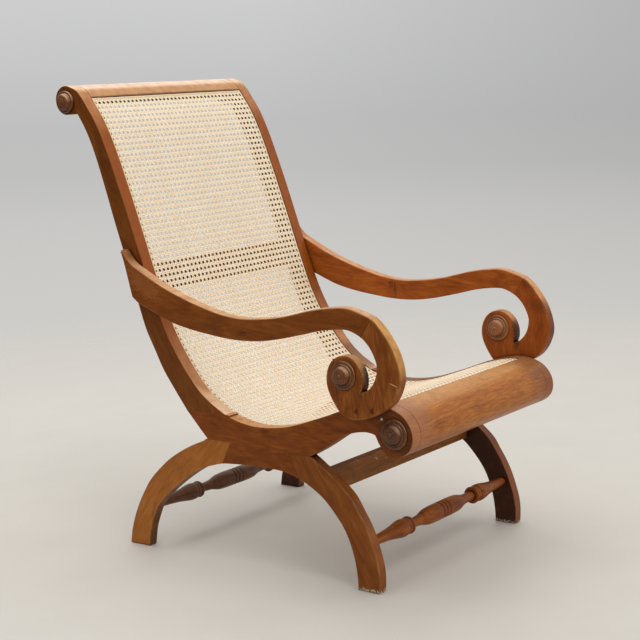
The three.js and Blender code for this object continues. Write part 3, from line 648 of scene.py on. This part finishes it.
def cane_material(name, deep, base, pale):
    """Split cane, with a tone of its own for each strand."""
    shader = Shader(bpy.data.materials.new(name))
    place = shader.place()
    patches = shader.noise(place, CANE_PATCHES, 3.0, 0.55)
    fibres = shader.noise(place, CANE_FIBRES, 2.0, 0.5)
    level = shader.math("MULTIPLY", shader.noted("tone"), STRAND_AMOUNT)
    for source, amount in ((patches, PATCH_AMOUNT), (fibres, FIBRE_AMOUNT)):
        level = shader.math("ADD", level, shader.math("MULTIPLY", source, amount))
    whole = STRAND_AMOUNT + PATCH_AMOUNT + FIBRE_AMOUNT
    colour = shader.ramp(shader.span(level, 0.0, whole), ((0.0, deep), (0.5, base), (1.0, pale)))
    return shader.finish({"Base Color": colour, "Roughness": CANE_ROUGHNESS,
                          "Normal": shader.bump(fibres, FIBRE_HEIGHT)})


def brass(name):
    """Old brass, with small differences in tone and polish."""
    shader = Shader(bpy.data.materials.new(name))
    worn_and_sheen = shader.noise(shader.place(), BRASS_NOISE, 3.0, 0.6)
    colour = shader.mix(worn_and_sheen, tone((196, 184, 160)), tone((246, 240, 226)))
    return shader.finish({"Base Color": colour, "Metallic": 0.6,
                          "Roughness": shader.span(worn_and_sheen, 0.2, 0.8, 0.3, 0.5)})


# Wood finishes: dark, middle and light tone, and the grain's tilt in the side view in degrees.
# A side is a tone of painted light and shade on the faces that turn one way: (direction, from, to, tone,
# amount), where from and to say how squarely it faces that way.
# A mark is (centre, size, tone, amount, turn, raggedness), in mm and degrees.

UP = (0, 0, 1)
FRONT = (0, -1, 0)
RIGHT = (-1, 0, 0)
NEAR_ARM, NEAR_BOARD, FAR_ARM_INSIDE = -303, -277, 277
CROSS_RAIL_FRONT = -240
MARK_DEPTH = 9


def face_mark(x, y, z, long, high, code, amount, lean=0, ragged=0.6):
    """A mark on a board's side face. Its length and height are from its middle to its rim."""
    return (x, y, z), (MARK_DEPTH, long, high), code, amount, (lean, 0, 0), ragged


def through_mark(x, y, z, size, code, amount, ragged):
    """A mark that takes in a part of a piece."""
    return (x, y, z), size, code, amount, (0, 0, 0), ragged


def scratch(x, z, long, high, code, amount, lean):
    """A pale scratch on the front of the front cross rail."""
    return (x, CROSS_RAIL_FRONT, z), (long, MARK_DEPTH, high), code, amount, (0, lean, 0), 0.2


FOOT_WEAR = (through_mark(-277, -336, -1.5, (40, 60, 7.5), (222, 206, 186), 0.95, 0.9),)
FAR_FOOT_WEAR = (through_mark(265, -336, -1.5, (60, 60, 6.5), (206, 190, 170), 0.9, 0.9),)
# The far legs' inner faces are dark. The side is laid on twice, so that its mottling is hidden
SHADED_INSIDE = ((RIGHT, 0.05, 0.4, (60, 31, 16), 1.0),) * 2
FRONT_LEG_TONES = ((92, 45, 9), (129, 70, 21), (158, 94, 34))

RAW = wood("raw_wood", (150, 124, 96), (188, 164, 134), (214, 194, 168), gloss=0.8, wear_and_highlight=0.0)
STILE = wood(
    "stile_wood", (84, 41, 9), (119, 64, 18), (145, 86, 32), 62,
    sides=(((0, -0.88, 0.48), 0.8, 0.97, (154, 80, 25), 1.0), (UP, 0.42, 0.85, (222, 172, 122), 0.85),
           (UP, 0.72, 0.96, (244, 206, 178), 0.85)),
    # Painted shade on the far stile's lower part
    marks=(((262, 52, 337), (46, 62, 24), (114, 66, 42), 0.8, (38, 0, 0), 0.3),))
HUB = wood(
    "hub_wood", (84, 38, 8), (128, 64, 16), (158, 90, 32), 4,
    sides=((UP, 0.7, 0.97, (220, 162, 106), 0.8),),
    marks=(face_mark(NEAR_BOARD, -92, 291, 15, 5, (70, 30, 8), 0.35),
           face_mark(NEAR_BOARD, -116, 283, 10, 3, (70, 30, 8), 0.3),
           # Painted shade round the roll's boss on the seat board's outer face
           face_mark(NEAR_BOARD, -412, 318, 56, 52, (52, 26, 10), 0.55, ragged=0.3)))
# The far seat board's wood: the near one's, with less painted light on its top
FAR_HUB = wood(
    "far_hub_wood", (86, 38, 7), (124, 62, 14), (152, 86, 28), 4, figure=0.8, shift=0.33,
    sides=((UP, 0.7, 0.97, (150, 100, 72), 0.6),))
REAR_LEG = wood(
    "rear_leg_wood", (122, 66, 20), (169, 102, 40), (194, 126, 58), -47, shift=0.31, figure=0.6,
    worn_and_sheen=(216, 166, 104), wear_and_highlight=0.7, sides=(((0, -0.9, -0.4), 0.5, 0.85, (74, 50, 28), 0.9),))
FAR_REAR_LEG = wood(
    "far_rear_leg_wood", (116, 62, 18), (160, 95, 36), (186, 120, 54), -47, shift=0.27,
    sides=(*SHADED_INSIDE, (FRONT, 0.4, 0.9, (80, 44, 24), 0.9)))
FRONT_LEG = wood(
    "front_leg_wood", *FRONT_LEG_TONES, 56, shift=0.17, figure=0.7, worn_and_sheen=(220, 178, 130), wear_and_highlight=0.7,
    marks=FOOT_WEAR)
FAR_FRONT_LEG = wood(
    "far_front_leg_wood", *FRONT_LEG_TONES, 56, shift=0.47, marks=FAR_FOOT_WEAR,
    sides=(*SHADED_INSIDE, (FRONT, 0.5, 0.9, (122, 66, 40), 0.9)))
ARM = wood(
    "arm_wood", (88, 42, 9), (129, 68, 20), (158, 92, 34), 4, figure=0.8, shift=0.53,
    sides=((UP, 0.55, 0.95, (222, 172, 126), 0.85), ((0, 0.97, -0.2), 0.7, 0.95, (196, 128, 90), 0.9)),
    marks=(face_mark(NEAR_ARM, 196, 578, 60, 26, (176, 108, 58), 0.4, 34, 0.5),
           face_mark(NEAR_ARM, -64, 491, 14, 6, (62, 28, 8), 0.45, -16, 0.9)))
SCROLL = wood(
    "scroll_wood", (88, 42, 10), (135, 72, 22), (170, 104, 40), 84, figure=1.5, shift=0.71,
    worn_and_sheen=(246, 208, 152), wear_and_highlight=1.0,
    sides=(((0, -0.8, 0.6), 0.72, 0.98, (212, 156, 86), 0.9), (UP, 0.8, 0.97, (216, 164, 114), 0.7)),
    marks=(face_mark(NEAR_ARM, -334, 362, 6, 6, (50, 22, 8), 0.7),
           face_mark(NEAR_ARM, -371, 368, 6, 7, (50, 22, 8), 0.7),
           face_mark(NEAR_ARM, -420.5, 421.2, 12, 1.0, (226, 190, 144), 0.85, 18, 0.12),
           # Painted shade in the hollow of the scroll's hook
           through_mark(-270, -350, 430, (34, 14, 46), (34, 20, 10), 0.95, 0.25),
           # A painted highlight along the edge of the scroll's front
           face_mark(-301, -427, 475, 2.0, 27, (250, 220, 172), 0.75, -23, 0.3)))
# Painted light: the far arm's wood is the near arm's, painted lighter for its lit inner faces
LIT_FAR_ARM = wood(
    "lit_far_arm_wood", (108, 50, 11), (156, 79, 24), (186, 108, 40), 4, shift=0.61,
    sides=((UP, 0.55, 0.95, (222, 172, 126), 0.72),),
    marks=(face_mark(FAR_ARM_INSIDE, -31, 509, 9, 10, (76, 34, 10), 0.6),
           face_mark(FAR_ARM_INSIDE, -42, 500, 5, 14, (76, 34, 10), 0.6)))
# Painted light: the far scroll's wood is the near scroll's, painted lighter for its lit inner faces
LIT_FAR_SCROLL = wood(
    "lit_far_scroll_wood", (104, 47, 12), (154, 77, 24), (186, 106, 38), 84, figure=0.7, shift=0.31,
    worn_and_sheen=(236, 184, 118), wear_and_highlight=1.0,
    sides=(((0, -0.5, 0.87), 0.75, 0.98, (228, 170, 112), 0.85),
           ((0, -0.95, -0.1), 0.75, 0.98, (84, 50, 32), 0.85)),
    marks=(face_mark(FAR_ARM_INSIDE, -384, 530, 22, 16, (86, 42, 16), 0.5),
           face_mark(FAR_ARM_INSIDE, -410, 484, 24, 18, (86, 42, 16), 0.5),
           # Painted shade in the hollow of the far scroll's hook
           through_mark(270, -352, 430, (34, 12, 56), (46, 27, 16), 0.75, 0.25),
           # Painted highlights along the far scroll's front
           face_mark(279, -408, 508, 2.2, 23, (244, 204, 150), 0.7, -33, 0.3),
           face_mark(279, -430, 474, 2.2, 25, (244, 204, 150), 0.7, -28, 0.3)))
CREST = wood(
    "crest_wood", (112, 60, 20), (150, 88, 36), (180, 116, 58), across=True, shift=0.2, wear_and_highlight=0.3,
    gloss=0.34, shine=0.3,
    sides=(((0, -0.6, 0.8), 0.1, 0.6, (196, 144, 96), 1.0), (UP, 0.78, 0.99, (250, 222, 198), 0.95)),
    # A painted shadow line under the crest rail's lip, along the cane
    marks=(through_mark(0, 365.7, 954.4, (400, 5, 3.6), (84, 46, 18), 0.75, 0.08),))
ROLL = wood(
    "roll_wood", (110, 58, 16), (165, 94, 27), (200, 132, 54), across=True, shift=0.4, wear_and_highlight=0.3,
    gloss=0.34, shine=0.2, figure=1.7, clouds=0.5, crevice=2 * MM,
    sides=((UP, 0.7, 0.99, (218, 168, 112), 0.6),),
    marks=(through_mark(290, -395, 345, (130, 110, 110), (104, 58, 38), 0.55, 0.12),
           through_mark(-252, -395, 345, (70, 110, 110), (150, 106, 84), 0.45, 0.2)))
RAIL = wood(
    "rail_wood", (92, 54, 18), (130, 79, 31), (152, 100, 46), across=True, shift=0.9, gloss=0.5,
    marks=(scratch(-168.6, 225.6, 6.5, 1.1, (206, 172, 134), 0.4, 40),
           scratch(-125, 222.6, 4, 1.1, (206, 172, 134), 0.4, 40),
           scratch(-102.7, 214.6, 9, 1.4, (214, 182, 146), 0.7, 33),
           scratch(-68, 207, 4, 1.1, (206, 172, 134), 0.35, 50)))
SHADED = wood(
    "shaded_wood", (8, 4, 2), (12, 6, 3), (16, 9, 5), across=True, gloss=0.9, wear_and_highlight=0.0, shine=0.0)
# Painted shade and light: the cane rails are painted dark as shade, and pale on the faces that turn to the
# sitter
CANE_RAIL_LIGHT_AND_SHADE = wood(
    "inner_wood", (40, 20, 10), (64, 36, 18), (90, 56, 32), 40, shift=0.6, gloss=0.6,
    sides=(((0, -0.9, 0.44), 0.6, 0.9, (244, 206, 160), 0.95), (UP, 0.6, 0.9, (244, 206, 160), 0.95)))
MID_RAIL = wood(
    "mid_rail_wood", (84, 49, 15), (121, 73, 28), (144, 94, 42), across=True, shift=0.9, gloss=0.5,
    sides=(((0, -0.94, 0.34), 0.6, 0.9, (214, 152, 92), 0.95),))
FRONT_TURNED = wood(
    "front_turned_wood", (78, 34, 10), (128, 66, 21), (168, 98, 38), across=True, shift=0.8,
    gloss=0.34, shine=0.13, crevice=5 * MM)
# Painted shade: the rear stretcher's wood is the front one's, darker and greyer for the shade under the seat
SHADED_REAR_TURNED = wood(
    "shaded_rear_turned_wood", (66, 38, 24), (98, 62, 42), (130, 90, 66), across=True, shift=0.5,
    gloss=0.34, shine=0.2, crevice=5 * MM)
BOSS = wood(
    "boss_wood", (74, 38, 18), (118, 68, 36), (160, 104, 64), 80, shift=0.35, gloss=0.26, shine=0.35,
    clouds=0.6, figure=0.5,
    sides=(((0, -0.55, 0.85), 0.5, 0.9, (214, 170, 130), 0.9),
           ((0, 0.3, -0.9), 0.25, 0.7, (46, 24, 12), 0.85)),
    # Painted shade on the roll's boss under the arm
    marks=(through_mark(-290, -401.4, 320.6, (30, 44, 44), (50, 26, 12), 0.5, 0.2),
           # Painted light on the far scroll's inner boss
           through_mark(250, -350, 400, (50, 90, 90), (214, 150, 104), 0.3, 0.1)))
DOWEL = wood(
    "dowel_wood", (150, 112, 70), (184, 148, 104), (206, 172, 126), across=True, gloss=0.7, wear_and_highlight=0.0)
CANE = cane_material("woven_cane", (246, 220, 178), (255, 235, 205), (255, 247, 230))
BINDING = cane_material("binding_cane", (228, 196, 150), (250, 228, 192), (255, 244, 218))
BRASS = brass("pin_brass")


# Boards

# The boards of a side: node, slot, arris, parts of a bend, and the woods on the right and on the left
SIDE_BOARDS = (
    ("back_stile", "stile_wood", EASED_ARRIS, 3, STILE, STILE),
    ("seat_board", "hub_wood", EASED_ARRIS, 3, HUB, FAR_HUB),
    ("rear_leg", "leg_wood", EASED_ARRIS, 3, REAR_LEG, FAR_REAR_LEG),
    ("front_leg", "leg_wood", EASED_ARRIS, 3, FRONT_LEG, FAR_FRONT_LEG),
    ("arm_rail", "arm_wood", ARM_ARRIS, 3, ARM, LIT_FAR_ARM),
    ("arm_scroll", "arm_wood", ARM_ARRIS, 3, SCROLL, LIT_FAR_SCROLL),
    ("cane_rail_upper", "inner_wood", RAIL_ARRIS, 1, CANE_RAIL_LIGHT_AND_SHADE, CANE_RAIL_LIGHT_AND_SHADE),
    ("cane_rail_lower", "inner_wood", RAIL_ARRIS, 1, CANE_RAIL_LIGHT_AND_SHADE, CANE_RAIL_LIGHT_AND_SHADE),
)
for number, side in enumerate(SIDES):
    for kind, slot, arris, parts, *woods in SIDE_BOARDS:
        board(f"{kind}_{side}", woods[number], arris, parts)
board("crest_rail", CREST, RAIL_ARRIS, 2)
board("front_roll", ROLL, JOINT_ARRIS, 2)
board("mid_back_rail", MID_RAIL, EASED_ARRIS, 1)
board("front_cross_rail", RAIL, EASED_ARRIS, 1)


# Turnings

# Half of a stretcher, in mm: (distance from the middle, radius), the grooved belly first
BELLY = [
    (0, 15.6), (1.0, 15.8), (2.2, 17.4), (4.5, 18.1), (7.5, 18.1), (10, 17.6), (11.2, 16), (12, 15.6),
    (12.8, 16), (14, 17.6), (17, 18.2), (28, 18.3), (40, 18), (50, 17.5), (60, 16.6), (70, 14.3),
    (80, 11.7), (92, 10.5), (104, 10), (115, 9.8), (120.5, 9.7),
]
COLLAR_AND_BULB = [
    (121.2, 10.6), (121.7, 15.6), (122.6, 17.9), (124.6, 18.3), (126.4, 17.7), (127.3, 16.2),
    (129.4, 16), (133, 17), (137, 17.2), (138.8, 16), (139.8, 16), (141, 17.5), (143.5, 18.2),
    (149, 18.4), (157, 17.8), (166, 16.5), (180, 14.2), (200, 11.8), (222, 10.3), (240, 9.3),
    (258, 7.6),
]
# Rings of a boss: shares of its height and of its radius
BOSS_RINGS = [
    (0, 0.985), (0.06, 1), (0.1, 0.998), (0.16, 0.965), (0.205, 0.9), (0.22, 0.83), (0.195, 0.79),
    (0.24, 0.775), (0.3, 0.745), (0.335, 0.7), (0.32, 0.665), (0.37, 0.652), (0.47, 0.632),
    (0.56, 0.612), (0.65, 0.585), (0.73, 0.55), (0.8, 0.5), (0.84, 0.45), (0.845, 0.4), (0.83, 0.37),
    (0.865, 0.34), (0.895, 0.27), (0.905, 0.2), (0.885, 0.16), (0.925, 0.14), (0.975, 0.095),
    (1, 0.02),
]
CREST_BOSS_RINGS = [
    (0, 0.985), (0.05, 1), (0.2, 1), (0.27, 0.99), (0.33, 0.95), (0.36, 0.89), (0.37, 0.845),
    (0.35, 0.82), (0.4, 0.81), (0.46, 0.79), (0.485, 0.765), (0.475, 0.75), (0.53, 0.742),
    (0.62, 0.72), (0.7, 0.69), (0.78, 0.64), (0.84, 0.57), (0.88, 0.48), (0.89, 0.42), (0.875, 0.39),
    (0.91, 0.36), (0.935, 0.28), (0.94, 0.2), (0.92, 0.16), (0.95, 0.14), (0.98, 0.095), (1, 0.02),
]


def stretcher(node, material):
    """A turned stretcher, the same on both sides of its middle."""
    low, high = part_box(node)
    centre = [(a + b) / 2 for a, b in zip(low, high)]
    half = smooth_profile(BELLY) + smooth_profile(COLLAR_AND_BULB)
    profile = [(-x, r) for x, r in reversed(half) if x > 0] + half
    piece = turned(f"{node}_turning", [(x * MM, r * MM) for x, r in profile], centre, 1, material)
    settle(piece, node)


def boss(node, rings):
    """Concentric turned rings on a face, scaled to the node's own radius and height."""
    low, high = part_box(node)
    centre = [(a + b) / 2 for a, b in zip(low, high)]
    radius = (high[2] - low[2]) / 2
    height = high[0] - low[0]
    outward = 1 if (centre[0] > 0) != ("inner" in node) else -1
    centre[0] = low[0] if outward > 0 else high[0]
    profile = smooth_profile([(x * height, r * radius) for x, r in rings])
    settle(turned(f"{node}_turning", profile, centre, outward, BOSS), node)


stretcher("front_stretcher", FRONT_TURNED)
stretcher("rear_stretcher", SHADED_REAR_TURNED)
for side in SIDES:
    for place in ("scroll_boss_outer", "scroll_boss_inner", "roll_boss"):
        boss(f"{place}_{side}", BOSS_RINGS)
    boss(f"crest_boss_{side}", CREST_BOSS_RINGS)


# Cane

class Sheet:
    """The cane's middle surface: distance down the chair, across it, and height above the surface."""

    def __init__(self):
        self.half, outline = cap("cane_panel")[1:]
        ends = [i for i in range(len(outline)) if turn_at(outline, i) > SHEET_CORNER]
        spans = [np.roll(outline, -ends[k], axis=0)[:(ends[(k + 1) % 4] - ends[k]) % len(outline) + 1]
                 for k in range(4)]
        faces = [s if s[0][1] > s[-1][1] else s[::-1] for s in sorted(spans, key=len)[2:]]
        self.line = sum(rounded(face, 4, closed=False) for face in faces) / 2
        steps = np.linalg.norm(np.diff(self.line, axis=0), axis=1)
        self.travel = np.concatenate([[0], np.cumsum(steps)])
        self.length = self.travel[-1]

    def line_at(self, along):
        """The y and z of the sitting line."""
        return [np.interp(along, self.travel, self.line[:, axis]) for axis in (0, 1)]

    def at(self, along, across, lift):
        """Points in space. The lift is towards the sitter."""
        y, z = self.line_at(along)
        ahead, behind = self.line_at(along + SLOPE_REACH), self.line_at(along - SLOPE_REACH)
        dy, dz = ahead[0] - behind[0], ahead[1] - behind[1]
        size = np.hypot(dy, dz)
        return np.stack([across, y + lift * dz / size, z - lift * dy / size], axis=1)


class Weave:
    """Ribbons collected into one piece."""

    def __init__(self, sheet):
        self.sheet = sheet
        self.vertices = []
        self.faces = []
        self.tones = []

    def ribbon(self, along, across, lift, width, thickness, section=FLAT_STRIP):
        """A closed strip along a path on the sheet, with a tone of its own."""
        along, across, lift = (np.asarray(v, float) for v in (along, across, lift))
        heading = np.stack([np.gradient(along), np.gradient(across)], axis=1)
        heading /= np.linalg.norm(heading, axis=1, keepdims=True)
        rings = [self.sheet.at(along - k * heading[:, 1] * width / 2, across + k * heading[:, 0] * width / 2,
                               lift + up * thickness / 2) for k, up in section]
        points = np.stack(rings, axis=1).reshape(-1, 3)
        first, size = len(self.tones), len(section)
        self.vertices.append(points)
        self.tones += [random.random()] * len(points)
        base = first + size * np.arange(len(along) - 1)
        for k in range(size):
            j = (k + 1) % size
            self.faces += np.stack([base + k, base + j, base + size + j, base + size + k], axis=1).tolist()
        last = len(self.tones) - size
        self.faces += [[*range(first + size - 1, first - 1, -1)], [*range(last, last + size)]]

    def made(self, name, material):
        """The ribbons as a piece."""
        piece = new_object(name, np.concatenate(self.vertices), self.faces, material)
        note_points(piece, "tone", self.tones)
        return piece


SHEET = Sheet()
LEFT_EDGE, RIGHT_EDGE = -SHEET.half, SHEET.half
PITCH = 2 * (SHEET.half - HOLE_INSET) / (HOLES_ACROSS - 1)
ROWS = int((SHEET.length - FIRST_ROW) / PITCH) + 1
# The middles of the doubled strands that run down the chair, and of those that run across it
PAIRS_ACROSS = LEFT_EDGE + HOLE_INSET + PITCH * (np.arange(HOLES_ACROSS - 1) + 0.5)
PAIRS_ALONG = FIRST_ROW + PITCH * (np.arange(-1, ROWS) + 0.5)
PAIRS_ALONG = PAIRS_ALONG[(PAIRS_ALONG > SHEET_MARGIN) & (PAIRS_ALONG < SHEET.length - SHEET_MARGIN)]


def knots_between(pairs, low, high, order):
    """Where a strand rises and dips as it crosses each pair, with its ends."""
    places, lifts = [low], [0.0]
    for middle in pairs:
        places += [middle - PAIR_HALF, middle + PAIR_HALF, middle + PITCH / 2]
        lifts += [order * WEAVE_LIFT, -order * WEAVE_LIFT, 0.0]
    places[-1] = high
    return np.array(places), np.array(lifts)


def doubled_strands(pairs, crossed, low, high, down):
    """Pairs of strands down the chair or across it, over and under the pairs that they cross."""
    weave = Weave(SHEET)
    for middle in pairs:
        for order in (-1, 1):
            run, lift = knots_between(crossed, low, high, order if down else -order)
            aside = np.full_like(run, middle + order * PAIR_HALF)
            path = (run, aside) if down else (aside, run)
            weave.ribbon(*path, lift, STRAND, STRAND_THICKNESS)
    return weave


def diagonals(lean):
    """Strands at 45 degrees that cut the corners of the openings, weaving over and under the pairs."""
    weave = Weave(SHEET)
    steps = np.arange(-SPARE_STEPS, 4 * HOLES_ACROSS + SPARE_STEPS)
    across = PAIRS_ACROSS[0] + steps * PITCH / 4
    lift = lean * WEAVE_LIFT * DIAGONAL_LIFT * np.cos(math.pi * steps / 2)
    for k in range(-HOLES_ACROSS - 1, ROWS + 1):
        along = PAIRS_ALONG[0] + (k + 0.5) * PITCH + steps * PITCH / 4
        inside = (across > LEFT_EDGE) & (across < RIGHT_EDGE) & (along > 0) & (along < SHEET.length)
        if inside.sum() > 2:
            weave.ribbon(along[inside], lean * across[inside], lift[inside], DIAGONAL, STRAND_THICKNESS)
    return weave


def binder(name, node, end, inward, runs_along):
    """A strip of cane over the outermost holes, tied down by a loop at each pitch."""
    weave = Weave(SHEET)
    edge = end + inward * BINDER_INSET
    first, reach = (0, SHEET.length) if runs_along else (-SHEET.half, SHEET.half)
    run = np.arange(first, reach, PITCH / 6)
    wander = sum(size * np.sin(run * rate) for size, rate in WANDER)
    middle = edge + inward * BINDER_WIDTH / 2 + wander
    path = (run, middle) if runs_along else (middle, run)
    weave.ribbon(*path, np.full_like(run, BINDER_LIFT), BINDER_WIDTH, BINDER_RISE, DOMED_STRIP)
    over = edge + inward * BINDER_WIDTH * LOOP_ACROSS
    rise = BINDER_LIFT + BINDER_RISE * LOOP_RISE
    ties = PITCH * np.arange(1, int(2 * reach / PITCH)) + first
    for tie in ties[ties < reach - PITCH / 2]:
        slant = random.uniform(*LOOP_SLANT) * MM
        shift = tie + slant * np.linspace(-1, 1, len(over))
        path = (shift, over) if runs_along else (over, shift)
        weave.ribbon(*path, rise, LOOP, LOOP_THICKNESS)
    settle(weave.made(name, BINDING), node)


WEAVES = {
    "cane_warp": doubled_strands(PAIRS_ACROSS, PAIRS_ALONG, 0, SHEET.length, True),
    "cane_weft": doubled_strands(PAIRS_ALONG, PAIRS_ACROSS, LEFT_EDGE, RIGHT_EDGE, False),
    "cane_diagonal_rising": diagonals(1),
    "cane_diagonal_falling": diagonals(-1),
}
for name, weave in WEAVES.items():
    settle(weave.made(name, CANE), "cane_panel")
binder("side_binding_right", "cane_binder_right", LEFT_EDGE, 1, True)
binder("side_binding_left", "cane_binder_left", RIGHT_EDGE, -1, True)
binder("crest_binding", "crest_binder", 0, 1, False)
binder("roll_binding", "roll_binder", SHEET.length, -1, False)


# Floor, light and camera

CAMERA_PLACE = (-2.6189, -1.9757, 1.0117)
CAMERA_TURN = math.radians(-53.4247)
CAMERA_TILT = math.radians(9.4531)
CAMERA_ROLL = math.radians(-1.8861)
FOCAL_PIXELS = 1547.56
IMAGE_PIXELS = 640
SENSOR = 36.0
CLIP_END = 60.0

DAYLIGHT = (1.0, 0.985, 0.96, 1.0)
DARK_SIDE = 0.1
BRIGHT_SIDE = 1.03
KEY_LIFT = math.radians(60)
WINDOW_WAY = (-0.25, -0.55, 0.8)
WINDOW_HALF_ANGLE = (9, 13)
WINDOW_LIGHT = 2.6
SOFTBOX_PLACE = (0.1, 1.1, 2.9)
SOFTBOX_TARGET = (0, 0.2, 0.3)
SOFTBOX_SIZE = 2.2
SOFTBOX_WATTS = 25
SOFTBOX_COLOUR = (1.0, 0.985, 0.965)
# The backdrop's colour by the upward part of the line of sight
BACKDROP = (
    (-0.30, (214, 209, 202)), (-0.215, (214, 210, 205)), (-0.184, (211, 208, 203)),
    (-0.151, (206, 204, 200)), (-0.119, (204, 202, 199)), (-0.094, (200, 199, 197)),
    (-0.065, (192, 192, 191)), (-0.036, (191, 191, 191)), (0.0, (198, 198, 199)), (0.04, (205, 205, 206)),
)
BACKDROP_FALL = 0.23

FLOOR_HALF = 5.0
FLOOR_DROP = 0.4 * MM
FLOOR_FADE = (1.3, 3.2)
FLOOR_TONES = ((208, 204, 197), (211, 207, 200))
SPECK_TONE = (238, 236, 232)
SPECK_AMOUNT = 0.5
FLOOR_ROUGHNESS = 0.55


def camera():
    """The photo's viewpoint, with its small roll."""
    a, e, r = CAMERA_TURN, CAMERA_TILT, CAMERA_ROLL
    back = Vector((math.sin(a) * math.cos(e), -math.cos(a) * math.cos(e), math.sin(e)))
    right = Vector((math.cos(a), math.sin(a), 0))
    up = back.cross(right)
    across = math.cos(r) * right + math.sin(r) * up
    upward = -math.sin(r) * right + math.cos(r) * up
    data = bpy.data.cameras.new("photo_camera")
    data.sensor_width = SENSOR
    data.lens = FOCAL_PIXELS * SENSOR / IMAGE_PIXELS
    data.clip_end = CLIP_END
    eye = bpy.data.objects.new("photo_camera", data)
    turn = Matrix((across, upward, back)).transposed().to_4x4()
    eye.matrix_world = Matrix.Translation(CAMERA_PLACE) @ turn
    bpy.context.scene.collection.objects.link(eye)
    bpy.context.scene.camera = eye


def softbox():
    """A large square lamp above and behind the chair."""
    data = bpy.data.lights.new("overhead_softbox", "AREA")
    data.shape = "SQUARE"
    data.size = SOFTBOX_SIZE
    data.energy = SOFTBOX_WATTS
    data.color = SOFTBOX_COLOUR
    lamp = bpy.data.objects.new("overhead_softbox", data)
    lamp.location = SOFTBOX_PLACE
    aim = Vector(SOFTBOX_TARGET) - Vector(SOFTBOX_PLACE)
    lamp.rotation_euler = aim.to_track_quat("-Z", "Y").to_euler()
    bpy.context.scene.collection.objects.link(lamp)


def world_light(shader, toward, height, sideways):
    """Light from above and from the camera's right, with a brighter patch like a window."""
    bright = shader.math("ADD", shader.math("MULTIPLY", sideways, math.cos(KEY_LIFT)),
                         shader.math("MULTIPLY", height, math.sin(KEY_LIFT)))
    level = shader.span(bright, -0.5, 0.8, DARK_SIDE, BRIGHT_SIDE)
    near = shader.dot(toward, Vector(WINDOW_WAY).normalized())
    core, rim = (math.cos(math.radians(a)) for a in WINDOW_HALF_ANGLE)
    level = shader.math("ADD", level, shader.span(near, rim, core, 0.0, WINDOW_LIGHT))
    return shader.add("ShaderNodeBackground", {"Color": DAYLIGHT, "Strength": level})


def world_backdrop(shader, height, sideways):
    """What the camera sees beyond the floor: darkest just below the horizon, and darker to the right."""
    low, high = BACKDROP[0][0], BACKDROP[-1][0]
    stops = [((place - low) / (high - low), code) for place, code in BACKDROP]
    colour = shader.ramp(shader.span(height, low, high), stops)
    fall = shader.math("MULTIPLY", shader.span(height, -0.2, 0.05, 0.0, BACKDROP_FALL),
                       shader.span(sideways, -0.03, 0.2))
    feeds = {"Color": colour, "Strength": shader.math("SUBTRACT", 1.0, fall)}
    return shader.add("ShaderNodeBackground", feeds)


def studio():
    """A world that lights the chair one way and shows the camera a pale backdrop."""
    world = bpy.data.worlds.new("studio")
    bpy.context.scene.world = world
    shader = Shader(world)
    shader.tree.nodes.clear()
    toward = shader.add("ShaderNodeTexCoord").outputs["Generated"]
    height = shader.add("ShaderNodeSeparateXYZ", {0: toward}).outputs["Z"]
    sideways = shader.dot(toward, (math.cos(CAMERA_TURN), math.sin(CAMERA_TURN), 0.0))
    light = world_light(shader, toward, height, sideways)
    seen = world_backdrop(shader, height, sideways)
    rays = shader.add("ShaderNodeLightPath").outputs["Is Camera Ray"]
    blend = shader.add("ShaderNodeMixShader", {0: rays, 1: light.outputs[0], 2: seen.outputs[0]})
    shader.add("ShaderNodeOutputWorld", {"Surface": blend.outputs[0]})
    softbox()


def floor():
    """A pale floor that fades into the backdrop far behind the chair."""
    shader = Shader(bpy.data.materials.new("studio_floor"))
    place = shader.place()
    patches = shader.noise(place, 5.0, 4.0, 0.6)
    specks = shader.span(shader.noise(place, 90.0, 1.0, 0.4), 0.79, 0.82, 0.0, SPECK_AMOUNT)
    colour = shader.mix(shader.span(patches, 0.35, 0.65), *(tone(code) for code in FLOOR_TONES))
    colour = shader.mix(specks, colour, tone(SPECK_TONE))
    material = shader.finish({"Base Color": colour, "Roughness": FLOOR_ROUGHNESS})
    away = shader.add("ShaderNodeBsdfTransparent").outputs[0]
    fade = shader.span(shader.length(place), *FLOOR_FADE)
    blend = shader.add("ShaderNodeMixShader", {0: fade, 1: shader.surface.outputs[0], 2: away})
    shader.feed(shader.tree.nodes["Material Output"].inputs["Surface"], blend.outputs[0])
    corners = [(x * FLOOR_HALF, y * FLOOR_HALF, 0) for x, y in ((-1, -1), (1, -1), (1, 1), (-1, 1))]
    plane = new_object("studio_floor", corners, [[0, 1, 2, 3]], material, smooth=False)
    plane.location.z = -FLOOR_DROP


def finish_frame_nodes():
    """Dowels inside the joints, and the pins, keep their frame shapes with wood and brass of their own."""
    for name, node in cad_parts.items():
        if "dowel" in name or "pin" in name:
            node.data.materials.clear()
            node.data.materials.append(DOWEL if "dowel" in name else BRASS)


camera()
studio()
floor()
finish_frame_nodes()
bpy.context.scene.view_settings.view_transform = "Standard"
bpy.context.view_layer.update()
